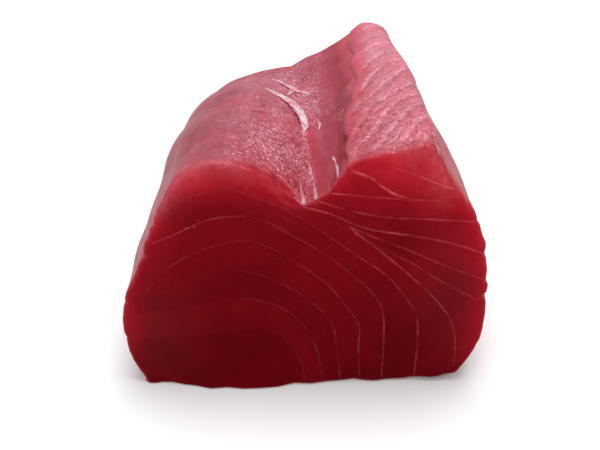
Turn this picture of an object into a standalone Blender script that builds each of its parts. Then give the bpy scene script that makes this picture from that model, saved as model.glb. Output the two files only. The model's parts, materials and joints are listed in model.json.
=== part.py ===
"""A raw tuna loin block: one solid piece of fish, cut straight across at both ends.

The block lies on its flat underside with its length along Y.  Looking at the near cut (-Y), a
broad rounded lobe is on the left and a taller ridge on the right, with a stepped groove between
them.  The form is a loft: a closed outline runs through named rails, and the rails run from the
near cut to the far cut.
"""
import bmesh
import bpy
import numpy as np

MM = 0.001

# Driving dimensions, in millimetres
LENGTH = 126.0          # between the two cuts, along Y
WIDTH = 120.0           # across the belly of the near cut, along X
HEIGHT = 90.0           # from the flat underside to the ridge

RIM_RADIUS = 1.4        # the knife leaves each rim slightly soft
FACE_CROWN = 1.0        # a cut face stands this much proud in its middle

FOOT_REACH = 5.0        # the lobe's foot sags out of the near face by this much,
FOOT_MIDDLE = -22.0     # most of all here, across
FOOT_HALF_WIDTH = 24.0
FOOT_HEIGHT = 32.0      # and no higher than this
FOOT_LENGTH = 20.0      # the sag dies out this far back

SCALLOP_DEPTH = 0.7     # waves along the ridge's left edge
SCALLOP_COUNT = 5

DENT_DEPTH = 0.45       # slow unevenness of the rounded sides
DENT_LENGTH = 47.0      # from one dent to the next, along Y
DENT_GIRTH = 61.0       # and round the outline
DENT_FADE = 9.0         # the dents die out this close to the underside

# Mesh counts
OUTLINE_STEP = 4.4      # about one outline point every so many millimetres
BASE_STEPS = 10         # along the straight underside
STATIONS = 30           # outlines from one rim to the other
RIM_STEPS = 2
FACE_RINGS = (0.80, 0.62, 0.44, 0.26, 0.10)     # how far each ring is drawn in to the core
CORE = (0.13, 0.38)     # the point that the rings of a cut face close on, placed as the rails are

# Rails: places on the outline as (across, up), across in half widths and up in ridge heights,
# at the near cut, half way and at the far cut.  The last number is how softly the outline turns
# there: 1 is round, 0 is a sharp corner.
RAILS = {
    "base_left":   ((-0.90, 0.00), (-0.90, 0.00), (-0.80, 0.00), 0.0),
    "heel_left":   ((-0.95, 0.06), (-0.95, 0.06), (-0.86, 0.06), 0.5),
    "belly_left":  ((-1.00, 0.33), (-1.00, 0.31), (-0.92, 0.28), 1.0),
    "flank_left":  ((-0.885, 0.53), (-0.90, 0.51), (-0.84, 0.46), 1.0),
    "shoulder":    ((-0.75, 0.74), (-0.795, 0.70), (-0.74, 0.59), 1.0),
    "brow":        ((-0.62, 0.88), (-0.64, 0.81), (-0.60, 0.68), 1.0),
    "crown":       ((-0.45, 0.925), (-0.42, 0.87), (-0.36, 0.745), 1.0),
    "slope":       ((-0.20, 0.87), (-0.17, 0.83), (-0.20, 0.765), 1.0),
    "groove":      ((-0.01, 0.76), (0.03, 0.785), (-0.09, 0.775), 0.35),
    "low_step":    ((0.07, 0.782), (0.10, 0.80), (0.01, 0.82), 0.4),
    "high_step":   ((0.133, 0.815), (0.19, 0.835), (0.12, 0.855), 0.4),
    "ridge_foot":  ((0.175, 0.865), (0.25, 0.88), (0.21, 0.895), 0.6),
    "ridge_left":  ((0.25, 0.92), (0.32, 0.925), (0.31, 0.945), 0.7),
    "ridge_top":   ((0.44, 0.965), (0.45, 0.97), (0.41, 0.995), 1.0),
    "ridge_right": ((0.62, 0.985), (0.61, 0.985), (0.545, 0.975), 0.7),
    "flank_right": ((0.74, 0.84), (0.745, 0.82), (0.66, 0.80), 1.0),
    "waist":       ((0.865, 0.72), (0.88, 0.67), (0.80, 0.64), 1.0),
    "belly_right": ((0.99, 0.34), (1.00, 0.35), (0.92, 0.36), 1.0),
    "chamfer":     ((0.97, 0.19), (0.97, 0.20), (0.88, 0.20), 0.8),
    "heel_right":  ((0.86, 0.035), (0.86, 0.04), (0.79, 0.04), 0.3),
    "base_right":  ((0.48, 0.00), (0.50, 0.00), (0.46, 0.00), 0.0),
}
SCALLOPED_RAILS = ("ridge_foot", "ridge_left")

FLESH_COLOR = (0.33, 0.03, 0.045, 1.0)
FLESH_ROUGHNESS = 0.38


def rail_points(along):
    """The rails' points in millimetres, at along = 0 (near cut) to 1 (far cut)."""
    near = 2 * (along - 0.5) * (along - 1)
    middle = 4 * along * (1 - along)
    far = 2 * along * (along - 0.5)
    table = np.array([rail[:3] for rail in RAILS.values()])
    points = np.einsum("s,rsc->rc", (near, middle, far), table) * (WIDTH / 2, HEIGHT)
    for name in SCALLOPED_RAILS:
        wave = abs(np.sin(np.pi * SCALLOP_COUNT * along))
        points[list(RAILS).index(name), 0] -= SCALLOP_DEPTH * wave
    return points


def outline_steps():
    """How many points the outline takes after each rail: the same at every station."""
    points = rail_points(0.0)
    gaps = np.linalg.norm(np.roll(points, -1, axis=0) - points, axis=1)
    counts = np.maximum(1, np.round(gaps / OUTLINE_STEP)).astype(int)
    counts[-1] = BASE_STEPS
    return counts


def turn(a, b, c):
    """The outline's direction at b, leaning towards the nearer neighbour."""
    length_ab, length_bc = np.linalg.norm(b - a), np.linalg.norm(c - b)
    return ((b - a) * length_bc / length_ab + (c - b) * length_ab / length_bc) / (length_ab + length_bc)


def smooth_outline(along):
    """A smooth closed curve from rail to rail, straight along the underside."""
    points = rail_points(along)
    soft = [rail[3] for rail in RAILS.values()]
    counts = outline_steps()
    total = len(points)
    curve = []
    for i in range(total):
        before, start, end, after = (points[(i + k) % total] for k in (-1, 0, 1, 2))
        length = np.linalg.norm(end - start)
        leave = turn(before, start, end) * length * soft[i]
        arrive = turn(start, end, after) * length * soft[(i + 1) % total]
        for step in range(counts[i]):
            s = step / counts[i]
            curve.append((2 * s**3 - 3 * s**2 + 1) * start + (s**3 - 2 * s**2 + s) * leave
                         + (3 * s**2 - 2 * s**3) * end + (s**3 - s**2) * arrive)
    return np.array(curve)


def outline(along):
    """The outline at one station, with the dents that a soft block has."""
    flat = smooth_outline(along)
    tangent = np.roll(flat, -1, axis=0) - np.roll(flat, 1, axis=0)
    outward = np.column_stack((-tangent[:, 1], tangent[:, 0]))
    outward /= np.linalg.norm(outward, axis=1)[:, None]
    girth = np.cumsum(np.linalg.norm(flat - np.roll(flat, 1, axis=0), axis=1))
    phase = 2 * np.pi * (along * LENGTH / DENT_LENGTH + girth / DENT_GIRTH)
    depth = DENT_DEPTH * np.sin(phase) * np.clip(flat[:, 1] / DENT_FADE, 0, 1)
    return flat + outward * depth[:, None]


def foot_sag(flat):
    """How far the lobe's foot stands out of the near face at points (across, up) of it."""
    height = np.clip(1 - flat[:, 1] / FOOT_HEIGHT, 0, 1)
    return FOOT_REACH * height ** 2 * np.exp(-((flat[:, 0] - FOOT_MIDDLE) / FOOT_HALF_WIDTH) ** 2)


def face_rings(along):
    """The rings of one cut face, from the one nearest its core out to the turn of its rim."""
    rim = outline(along)
    to_core = np.array(CORE) * (WIDTH / 2, HEIGHT) - rim
    reach = np.linalg.norm(to_core, axis=1)
    shapes = [(share * reach, FACE_CROWN * (1 - (1 - share) ** 2)) for share in FACE_RINGS]
    for step in range(RIM_STEPS, 0, -1):
        angle = np.pi / 2 * step / RIM_STEPS
        shapes.append((RIM_RADIUS * (1 - np.cos(angle)), -RIM_RADIUS * (1 - np.sin(angle))))
    rings = []
    for drawn_in, proud in shapes:
        flat = rim + to_core * (drawn_in / reach)[:, None]
        out = LENGTH / 2 + proud + (foot_sag(flat) if along == 0 else 0)
        y = np.broadcast_to(out if along else -out, len(flat))
        rings.append(np.column_stack((flat[:, 0], y, flat[:, 1])))
    return rings


def body_rings():
    """The rings between the two rims."""
    rings = []
    for station in range(STATIONS + 1):
        along = station / STATIONS
        flat = outline(along)
        fade = np.clip(1 - along * LENGTH / FOOT_LENGTH, 0, 1) ** 2
        y = (along - 0.5) * (LENGTH - 2 * RIM_RADIUS) - foot_sag(flat) * fade
        rings.append(np.column_stack((flat[:, 0], y, flat[:, 1])))
    return rings


def build_loin():
    """Skin the rings, close both faces, and stand the block centred on its underside."""
    rings = face_rings(0.0) + body_rings() + face_rings(1.0)[::-1]
    shape = bmesh.new()
    loops = [[shape.verts.new(point * MM) for point in ring] for ring in rings]
    for first, second in zip(loops, loops[1:]):
        for i in range(len(first)):
            after = (i + 1) % len(first)
            shape.faces.new((first[i], first[after], second[after], second[i]))
    caps = [shape.faces.new(loops[0]), shape.faces.new(loops[-1])]
    bmesh.ops.poke(shape, faces=caps)
    bmesh.ops.triangulate(shape, faces=shape.faces)
    bmesh.ops.recalc_face_normals(shape, faces=shape.faces)
    corners = np.array([vertex.co for vertex in shape.verts])
    low, high = corners.min(axis=0), corners.max(axis=0)
    to_origin = (-(low[0] + high[0]) / 2, -(low[1] + high[1]) / 2, -low[2])
    bmesh.ops.translate(shape, verts=shape.verts, vec=to_origin)
    mesh = bpy.data.meshes.new("loin")
    shape.to_mesh(mesh)
    shape.free()
    mesh.shade_smooth()
    mesh.materials.append(flesh_material())
    loin = bpy.data.objects.new("loin", mesh)
    bpy.context.scene.collection.objects.link(loin)


def flesh_material():
    """Wet raw flesh, deep red."""
    material = bpy.data.materials.new("flesh")
    material.use_nodes = True
    shader = material.node_tree.nodes["Principled BSDF"]
    shader.inputs["Base Color"].default_value = FLESH_COLOR
    shader.inputs["Roughness"].default_value = FLESH_ROUGHNESS
    shader.inputs["Metallic"].default_value = 0.0
    return material


for leftover in list(bpy.data.objects):
    bpy.data.objects.remove(leftover, do_unlink=True)
build_loin()
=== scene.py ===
# %% [markdown]
# # A raw tuna loin, from a plain solid to wet fish
#
# A loin is one solid piece of muscle. A knife has cut it straight across at both ends, so it has
# two quite different kinds of surface: the deep red, glossy cut faces, crossed by fine pale
# membranes, and the dusty pink outside, where the skin was pulled off and left a frosted film.
#
# The plain block comes first. Its size is an estimate. It could be painted as it stands, but its
# facets are too coarse for a close look, so it serves as the gauge: everything below is built at
# the same size, in millimetres from the near cut, and moved onto it at the end.

# %% Load the plain block
import json
import math

import bpy
import numpy as np
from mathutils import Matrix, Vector, noise
from mathutils.bvhtree import BVHTree
from mathutils.geometry import delaunay_2d_cdt
from mathutils.kdtree import KDTree

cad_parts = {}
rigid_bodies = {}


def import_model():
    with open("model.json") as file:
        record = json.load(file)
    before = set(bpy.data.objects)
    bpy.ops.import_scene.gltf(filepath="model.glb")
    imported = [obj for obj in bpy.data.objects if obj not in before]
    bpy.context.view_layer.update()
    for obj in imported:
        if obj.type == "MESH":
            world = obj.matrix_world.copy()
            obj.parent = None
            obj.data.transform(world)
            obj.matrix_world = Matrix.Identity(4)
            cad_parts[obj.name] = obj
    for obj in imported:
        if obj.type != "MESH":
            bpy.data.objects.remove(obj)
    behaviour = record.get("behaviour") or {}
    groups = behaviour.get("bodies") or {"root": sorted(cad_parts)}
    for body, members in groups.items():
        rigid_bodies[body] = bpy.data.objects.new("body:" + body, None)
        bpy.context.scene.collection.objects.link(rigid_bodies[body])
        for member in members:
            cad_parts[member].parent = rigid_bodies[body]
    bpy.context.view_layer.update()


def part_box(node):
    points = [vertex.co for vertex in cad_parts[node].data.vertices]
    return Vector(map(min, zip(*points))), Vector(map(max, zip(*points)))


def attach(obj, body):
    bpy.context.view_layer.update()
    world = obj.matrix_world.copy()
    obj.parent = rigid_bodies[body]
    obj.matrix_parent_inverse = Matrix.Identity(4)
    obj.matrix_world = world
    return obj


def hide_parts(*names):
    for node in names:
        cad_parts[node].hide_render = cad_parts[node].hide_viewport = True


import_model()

MM = 0.001
block_low, block_high = (np.array(corner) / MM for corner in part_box("loin"))
print("plain block, mm:", (block_high - block_low).round(1))

# %% [markdown] ## A pale floor  The loin lies on plain pale paper, which shows its soft contact
# shadow and lends it no colour. A small sheet would end inside a low view and a curved backdrop
# would cast light of its own, so one very large flat square is used. It is nearly white and has
# almost no gloss.

# %% Floor
FLOOR_HALF_WIDTH = 3.0
PAPER_WHITE = (0.86, 0.86, 0.86, 1)


def add_floor():
    """One large flat square for the floor."""
    mesh = bpy.data.meshes.new("floor")
    corners = [(x * FLOOR_HALF_WIDTH, y * FLOOR_HALF_WIDTH, 0)
               for x, y in ((-1, -1), (1, -1), (1, 1), (-1, 1))]
    mesh.from_pydata(corners, [], [(0, 1, 2, 3)])
    paper = bpy.data.materials.new("pale_floor")
    paper.use_nodes = True
    shader = paper.node_tree.nodes["Principled BSDF"]
    shader.inputs["Base Color"].default_value = PAPER_WHITE
    shader.inputs["Roughness"].default_value = 0.9
    shader.inputs["Specular IOR Level"].default_value = 0.2
    mesh.materials.append(paper)
    floor = bpy.data.objects.new("floor", mesh)
    bpy.context.scene.collection.objects.link(floor)


add_floor()
print("floor, metres across:", 2 * FLOOR_HALF_WIDTH)

# %% [markdown]
# ## Soft lamps and a white surround
#
# Wet food looks right under broad lamps: they lay long soft sheens on it, where a small lamp
# strikes hard sparks. One wide disc hangs almost straight above, a weaker one stands in front and
# to the left, and an even white surround fills the shadows. All of them are plain white, so every
# tint that shows is the fish's own.

# %% Lamps and surround
LAMP_TARGET = Vector((0, 0, 0.04))
SURROUND_STRENGTH = 0.55


def add_lamp(name, place, size, watts):
    """A round lamp that looks at the middle of the loin."""
    data = bpy.data.lights.new(name, "AREA")
    data.shape = "DISK"
    data.size = size
    data.energy = watts
    lamp = bpy.data.objects.new(name, data)
    lamp.location = place
    lamp.rotation_euler = (LAMP_TARGET - lamp.location).to_track_quat("-Z", "Y").to_euler()
    bpy.context.scene.collection.objects.link(lamp)
    print(name, "watts:", watts)


add_lamp("key_lamp", Vector((0.08, 0.12, 1.0)), 0.8, 9.0)
add_lamp("front_lamp", Vector((-0.45, -1.0, 0.8)), 0.9, 5.0)

world = bpy.data.worlds.new("studio")
world.use_nodes = True
surround = world.node_tree.nodes["Background"]
surround.inputs["Color"].default_value = (1, 1, 1, 1)
surround.inputs["Strength"].default_value = SURROUND_STRENGTH
bpy.context.scene.world = world
bpy.context.scene.view_settings.view_transform = "Standard"

# %% [markdown]
# ## The camera
#
# The loin is seen close up, straight on to the near cut and from about thirty degrees above it,
# near enough for the far end to look clearly narrower. Distance sets how fast things shrink and
# the lens only sets how much of them is seen, so the distance is chosen first. Everything stays
# sharp, as depth blur would hide the fine threads.

# %% Camera
VIEW_DOWN = math.radians(29.4)
VIEW_DISTANCE = 0.2909
VIEW_AIM = Vector((-0.0014, -0.0318, 0.0450))
LENS = 50.0

camera_data = bpy.data.cameras.new("camera")
camera_data.lens = LENS
camera_data.clip_start = 0.01
camera = bpy.data.objects.new("camera", camera_data)
toward_camera = Vector((0, -math.cos(VIEW_DOWN), math.sin(VIEW_DOWN)))
camera.location = VIEW_AIM + toward_camera * VIEW_DISTANCE
camera.rotation_euler = (math.pi / 2 - VIEW_DOWN, 0, 0)
bpy.context.scene.collection.objects.link(camera)
bpy.context.scene.camera = camera
print("camera at, mm:", (np.array(camera.location) / MM).round(1))

# %% [markdown]
# ## The rails of the form
#
# Seen from its end, the loin is a fat lobe on the left, a groove, and a ridge on the right that
# climbs towards the far end. It could be sculpted by hand, but then it would drift away from the
# plain block. That block is a loft: a smooth outline which runs through named rails from the
# near cut to the far one. So the same rails are written down here and followed again, much more
# finely, which leaves room for real relief in the mesh.

# %% The rails of the loft
LENGTH = 126.0
WIDTH = 120.0
HEIGHT = 90.0

# (across, up) in half widths and heights at the near cut, half way and at the far cut, then how
# softly the outline turns there.
RAILS = {
    "base_left":   ((-0.90, 0.00), (-0.90, 0.00), (-0.80, 0.00), 0.0),
    "heel_left":   ((-0.95, 0.06), (-0.95, 0.06), (-0.86, 0.06), 0.5),
    "belly_left":  ((-1.00, 0.33), (-1.00, 0.31), (-0.92, 0.28), 1.0),
    "flank_left":  ((-0.885, 0.53), (-0.90, 0.51), (-0.84, 0.46), 1.0),
    "shoulder":    ((-0.75, 0.74), (-0.795, 0.70), (-0.74, 0.59), 1.0),
    "brow":        ((-0.62, 0.88), (-0.64, 0.81), (-0.60, 0.68), 1.0),
    "crown":       ((-0.45, 0.925), (-0.42, 0.87), (-0.36, 0.745), 1.0),
    "slope":       ((-0.20, 0.87), (-0.17, 0.83), (-0.20, 0.765), 1.0),
    "groove":      ((-0.01, 0.76), (0.03, 0.785), (-0.09, 0.775), 0.35),
    "low_step":    ((0.07, 0.782), (0.10, 0.80), (0.01, 0.82), 0.4),
    "high_step":   ((0.133, 0.815), (0.19, 0.835), (0.12, 0.855), 0.4),
    "ridge_foot":  ((0.175, 0.865), (0.25, 0.88), (0.21, 0.895), 0.6),
    "ridge_left":  ((0.25, 0.92), (0.32, 0.925), (0.31, 0.945), 0.7),
    "ridge_top":   ((0.44, 0.965), (0.45, 0.97), (0.41, 0.995), 1.0),
    "ridge_right": ((0.62, 0.985), (0.61, 0.985), (0.545, 0.975), 0.7),
    "flank_right": ((0.74, 0.84), (0.745, 0.82), (0.66, 0.80), 1.0),
    "waist":       ((0.865, 0.72), (0.88, 0.67), (0.80, 0.64), 1.0),
    "belly_right": ((0.99, 0.34), (1.00, 0.35), (0.92, 0.36), 1.0),
    "chamfer":     ((0.97, 0.19), (0.97, 0.20), (0.88, 0.20), 0.8),
    "heel_right":  ((0.86, 0.035), (0.86, 0.04), (0.79, 0.04), 0.3),
    "base_right":  ((0.48, 0.00), (0.50, 0.00), (0.46, 0.00), 0.0),
}
RAIL = {name: index for index, name in enumerate(RAILS)}
SOFT = np.array([rail[3] for rail in RAILS.values()])
RAIL_SECTIONS = np.array([rail[:3] for rail in RAILS.values()])
print("rails:", len(RAILS))

# %% [markdown]
# ## Places round the outline
#
# A rail is a parabola through its three points, so one number, how far along the loin we are,
# gives the whole set of rail points. Between them the outline needs many more points, but not
# equally many everywhere: the torn film on top wants them half a millimetre apart, while the flat
# underside is never seen. A place is a rail number and a fraction, so 8.25 is a quarter of the way
# past the ninth rail, and it means the same spot of the flesh at every station.

# %% Rail points and places
# The ridge's left foot waves out and in by so much, so many times.
RIDGE_WAVE = 0.7
RIDGE_WAVES = 5
# How far apart points lie under torn film, on plain film, on the flanks and underneath, and at
# which station.
STEP_FINE, STEP_PLAIN, STEP_SIDE, STEP_UNDER = 0.55, 0.9, 1.25, 4.0
MEASURED_ALONG = 0.3


def rail_points(along):
    """The rails' points in millimetres, from along = 0 (near cut) to 1 (far cut)."""
    weights = (2 * (along - 0.5) * (along - 1), 4 * along * (1 - along), 2 * along * (along - 0.5))
    points = np.einsum("s,rsc->rc", weights, RAIL_SECTIONS) * (WIDTH / 2, HEIGHT)
    wave = RIDGE_WAVE * abs(math.sin(math.pi * RIDGE_WAVES * along))
    points[[RAIL["ridge_foot"], RAIL["ridge_left"]], 0] -= wave
    return points


def rail_places():
    """Where the outline's points lie between the rails."""
    points = rail_points(MEASURED_ALONG)
    places = []
    for i, gap in enumerate(np.linalg.norm(np.roll(points, -1, axis=0) - points, axis=1)):
        step = STEP_SIDE
        if i == RAIL["base_right"]:
            step = STEP_UNDER
        if RAIL["shoulder"] <= i <= RAIL["ridge_right"]:
            step = STEP_PLAIN
        if RAIL["crown"] <= i < RAIL["ridge_right"]:
            step = STEP_FINE
        count = max(2, round(gap / step))
        places.extend(i + k / count for k in range(count))
    return np.array(places)


PLACES = rail_places()
print("points round the outline:", len(PLACES))

# %% [markdown]
# ## Soft limits
#
# Nearly everything below fades in and out somewhere: film stops short of the cut, the ridge's
# flakes stop at its edge. A hard limit would draw a line that flesh doesn't have. Five helpers do
# all the fading: two climb or fall smoothly between two values, one is 1 between two rails and
# fades past them, and two are 1 at a value or a spot and fade round it.

# %% Fading helpers
def rise(value, low, high):
    """0 below low, 1 above high, smooth between."""
    t = np.clip((value - low) / (high - low), 0, 1)
    return t * t * (3 - 2 * t)


def fall(value, low, high):
    """1 below low, 0 above high, smooth between."""
    return rise(-value, -high, -low)


def between(place, first, last, soft=0.6):
    """1 between two rails, fading to 0 past them."""
    return (rise(place, RAIL[first] - soft / 2, RAIL[first] + soft / 2)
            * fall(place, RAIL[last] - soft / 2, RAIL[last] + soft / 2))


def bell(value, middle, reach):
    """1 at a middle value, fading to 0 a few reaches away from it."""
    return np.exp(-((value - middle) / reach) ** 2)


def patch(flat, middle, reach):
    """1 at a spot of a face or of the top, fading to 0 a few reaches away on both axes."""
    return np.exp(-(((flat - middle) / reach) ** 2).sum(axis=1))


print("points on the ridge:", int(between(PLACES, "ridge_foot", "flank_right").sum()))

# %% [markdown]
# ## The outline at one station
#
# Between two rails the outline is a Hermite curve: it leaves one point and arrives at the next in
# chosen directions. Each direction leans towards the nearer neighbour and is scaled by the rail's
# softness, so 1 gives the round belly and 0 the sharp corner at the base. A slow ripple keeps the
# flanks from looking turned on a lathe. It runs along the loin and round it at once.

# %% The outline
# The ripple's height, its wavelengths, and how far up from the base it is at full height.
RIPPLE = 0.45
RIPPLE_ALONG, RIPPLE_ROUND = 47.0, 61.0
RIPPLE_FREE_OF_BASE = 9.0


def turn(a, b, c):
    """The outline's direction at b, leaning towards the nearer neighbour."""
    length_ab = np.linalg.norm(b - a, axis=1)[:, None]
    length_bc = np.linalg.norm(c - b, axis=1)[:, None]
    return ((b - a) * length_bc / length_ab + (c - b) * length_ab / length_bc) / (length_ab + length_bc)


def outward_of(flat):
    """The directions that point out of a closed outline."""
    tangent = np.roll(flat, -1, axis=0) - np.roll(flat, 1, axis=0)
    outward = np.column_stack((-tangent[:, 1], tangent[:, 0]))
    return outward / np.linalg.norm(outward, axis=1)[:, None]


def outline(along):
    """The closed outline at one station, ripple included, one point for each place."""
    points = rail_points(along)
    i = PLACES.astype(int)
    s = (PLACES - i)[:, None]
    before, start, end, after = (points[(i + k) % len(points)] for k in (-1, 0, 1, 2))
    length = np.linalg.norm(end - start, axis=1)[:, None]
    leave = turn(before, start, end) * length * SOFT[i][:, None]
    arrive = turn(start, end, after) * length * SOFT[(i + 1) % len(points)][:, None]
    flat = ((2 * s**3 - 3 * s**2 + 1) * start + (s**3 - 2 * s**2 + s) * leave
            + (3 * s**2 - 2 * s**3) * end + (s**3 - s**2) * arrive)
    girth = np.cumsum(np.linalg.norm(flat - np.roll(flat, 1, axis=0), axis=1))
    phase = 2 * np.pi * (along * LENGTH / RIPPLE_ALONG + girth / RIPPLE_ROUND)
    ripple = RIPPLE * np.sin(phase) * np.clip(flat[:, 1] / RIPPLE_FREE_OF_BASE, 0, 1)
    return flat + outward_of(flat) * ripple[:, None]


print("near outline, mm across and up:", np.ptp(outline(0.0), axis=0).round(1))

# %% [markdown]
# ## The foot of the near cut
#
# Raw muscle is heavy and slack. Below about a third of its height the near face bellies forwards,
# most of all under the lobe, and its lowest few millimetres are a little wavy where the flesh
# spreads. A cut face that is dead flat right down to the floor looks like clay.

# %% The sagging foot
FOOT_HEIGHT = 32.0
FOOT_SAG = 5.0
SAG_MIDDLE, SAG_REACH = -22.0, 24.0


def foot_sag(flat):
    """How far the lobe's foot stands out of the near face."""
    height = np.clip(1 - flat[:, 1] / FOOT_HEIGHT, 0, 1)
    lobe = FOOT_SAG * height ** 2 * bell(flat[:, 0], SAG_MIDDLE, SAG_REACH)
    waves = 0.5 * np.sin(flat[:, 0] / 3.1) + 0.35 * np.sin(flat[:, 0] / 1.7 + 1.0)
    return lobe + waves * height ** 6


print("deepest sag, mm:", foot_sag(outline(0.0)).max().round(1))

# %% [markdown]
# ## Where the membranes run
#
# Fish muscle is a stack of flakes, and a thin white membrane parts each flake from the next. A
# straight cut shows these sheets edge on: nested arches over the heart of the lobe, and a fan that
# spreads from the foot of the groove to the right. Noise can't make such an orderly pattern, and a
# drawn one needs only a few points a line. The same lines are used three times below: to step the
# flakes, to tint them, and to carry the pale threads.

# %% The membrane lines
# Each line: (across, up) in millimetres on the near face, then how plainly it shows at its start,
# middle and end.
MEMBRANES = {
    "heart": ([(-10.5, 12), (-7.5, 8), (-6.5, 0.3)], (0.0, 0.15, 0.2)),
    "inner_low": ([(-14, 23), (-9.4, 20.3), (-4.1, 14.9), (-1, 8), (0, 0.3)], (0.0, 0.25, 0.3)),
    "inner_mid": ([(-31.4, 32), (-22, 34.5), (-12, 33), (-4.7, 28.8), (1.3, 21), (4.4, 12),
                   (6.2, 0.3)], (0.15, 0.35, 0.4)),
    "inner_high": ([(-36.5, 38), (-30, 43), (-22.7, 45.1), (-13.8, 43.6), (-4, 38.4), (4.2, 31.2),
                    (8.9, 24.4), (10.7, 14), (12.1, 0.3)], (0.0, 0.15, 0.45)),
    "middle_low": ([(-54, 32), (-47, 42.5), (-36, 51), (-20.7, 56.2), (-8.9, 52.5), (5.7, 41.5),
                    (13.6, 31.2), (17.8, 23.5), (17.9, 14), (18.9, 0.3)], (0.25, 0.2, 0.65)),
    "middle_high": ([(-55.5, 50.5), (-50, 54), (-42, 57.6), (-31, 63), (-22, 64.7), (-13.7, 63.7),
                     (-4.5, 58.3), (6, 51.5), (17.9, 41), (24, 33), (26, 24), (26.3, 0.3)],
                    (0.65, 0.25, 0.65)),
    "outer": ([(-54.5, 61.5), (-44, 66.5), (-35, 71.3), (-24, 74), (-14.4, 71), (-4, 66), (5, 59.5),
               (15, 51.8), (25.7, 43.6), (33, 34.3), (36.8, 26), (37.6, 14), (37.4, 0.3)],
              (0.2, 0.3, 0.7)),
    "fan_foot": ([(14.1, 60.5), (26, 50.3), (38.9, 37.9), (45.4, 30), (49, 22.7), (50.5, 14),
                  (50.6, 6)], (0.6, 0.75, 0.35)),
    "fan_low": ([(15, 59), (23.7, 53.6), (34.1, 47.7), (43.8, 40.9), (57.5, 32.8)], (0.2, 0.3, 0.3)),
    "fan_mid": ([(13.4, 61.2), (23.5, 56.5), (33.5, 52.2), (45.9, 46.2), (58.8, 41)], (0.5, 0.65, 0.6)),
    "fan_groove": ([(-0.8, 68.0), (8.1, 65.4), (18.4, 60.8), (33.1, 58), (44.5, 55.5), (57.2, 50.9)],
                   (0.85, 0.85, 0.8)),
    "fan_step": ([(3.9, 69.9), (12.4, 67.2), (23.5, 64.7), (38.6, 63.7), (54.2, 62.6)],
                 (0.8, 0.75, 0.55)),
    "fan_high": ([(7.8, 72.6), (14.6, 72), (25.3, 70.9), (50.5, 69.4)], (0.9, 0.6, 0.35)),
    "ridge_low": ([(13.2, 80.4), (19.6, 77.7), (23.3, 74.7), (27.7, 72), (32, 70.9)], (0.6, 2.2, 0.6)),
    "ridge_high": ([(25.8, 81.2), (34.5, 78), (42.5, 74.7), (47.9, 73.6)], (0.4, 0.9, 0.9)),
}
print("membranes on each face:", len(MEMBRANES))

# %% [markdown]
# ## Smooth lines
#
# A few points make a bent line, and flesh has no corners. A Catmull-Rom curve passes through each
# of them and turns smoothly between, with no handles to set. Two more helpers measure from such a
# line: how far away each point is, and a soft 1 on the line that fades beside it.

# %% Line helpers
def smooth_line(points, step=0.8):
    """An evenly stepped smooth curve through a few points."""
    points = np.array(points, float)
    ends = np.vstack((2 * points[0] - points[1], points, 2 * points[-1] - points[-2]))
    curve = []
    for a, b, c, d in zip(ends, ends[1:], ends[2:], ends[3:]):
        count = max(2, int(np.linalg.norm(c - b) / step))
        for s in np.arange(count) / count:
            curve.append(0.5 * (2 * b + (c - a) * s + (2 * a - 5 * b + 4 * c - d) * s**2
                                + (3 * b - a - 3 * c + d) * s**3))
    return np.array(curve + [points[-1]])


def distance_to(flat, line):
    """Each point's distance to a line."""
    nearest = np.full(len(flat), 1e9)
    for a, b in zip(line, line[1:]):
        run = b - a
        t = np.clip((flat - a) @ run / max(run @ run, 1e-9), 0, 1)
        nearest = np.minimum(nearest, np.linalg.norm(flat - a - t[:, None] * run, axis=1))
    return nearest


def near_line(line, points, reach):
    """1 on a line of (across, depth), fading to 0 a few reaches away."""
    return bell(distance_to(points[:, :2], smooth_line(line, 2.0)), 0, reach)


MEMBRANE_LINES = {name: smooth_line(points) for name, (points, _) in MEMBRANES.items()}
print("points on the membranes:", sum(len(line) for line in MEMBRANE_LINES.values()))

# %% [markdown]
# ## The top's own lines
#
# Looking down on the loin, a few lines run away from the near cut: the ridge's rolled left edge,
# both sides of the red strip of bare flesh beside the groove, the right limit of the film, and a
# short slit in the fold. Each is written as (across, depth) in millimetres. Relief, colour and
# film all ask how far right of a line a point lies, so the three always agree about the edge.

# %% Lines that run away from the near cut
RIDGE_EDGE = [(12.4, 0), (13.4, 8), (14.2, 20), (14.2, 33), (15.0, 45), (17.0, 57), (19.0, 66),
              (20.4, 74), (19.6, 86), (20.0, 105), (20.4, 126)]
STRIP_LEFT = [(3.8, 0), (3.1, 9), (1.7, 28), (0.4, 43), (0.2, 52)]
STRIP_RIGHT = [(7.5, 0), (7.1, 12), (6.2, 27), (4.8, 41), (4.2, 52)]
# Where the strip ends, with a painted red highlight.
STRIP_END = (1.6, 50)
FILM_RIGHT = STRIP_LEFT + [(4.6, 59), (5.4, 66), (5.0, 80), (5.6, 96), (7.0, 126)]
SLIT = [(-7.4, 75.5), (-5.4, 72.0), (-3.8, 66.2), (-2.4, 61.3), (-1.3, 56.0)]


def right_of(line, points):
    """How far right of a line each point lies."""
    across, depth = np.array(line).T
    return points[:, 0] - np.interp(points[:, 1], depth, across)


def wander(points, size, seed):
    """Smooth random heights from -1 to 1 in lumps of that size. Each seed gives its own pattern."""
    scaled = np.asarray(points) / np.asarray(size) + seed * 17.3
    return np.array([noise.noise(point) for point in scaled.tolist()])


print("slit, mm long:", np.linalg.norm(np.diff(SLIT, axis=0), axis=1).sum().round(1))

# %% [markdown]
# ## Flakes of the ridge
#
# On the ridge the flakes lie like fallen roof tiles. Each begins with a raised lip that slants
# across the ridge, sinks slowly behind it and ends in a low trough before the next lip. A saw-tooth
# of the depth gives that rhythm. It slants steeply near the cut and hardly at all at the far end,
# and noise bends it, because living muscle is never ruled.

# %% Ridge flakes
FLAKE = 12.0
FIRST_LIP = 2.3
RIDGE_MIDDLE = 34
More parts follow.
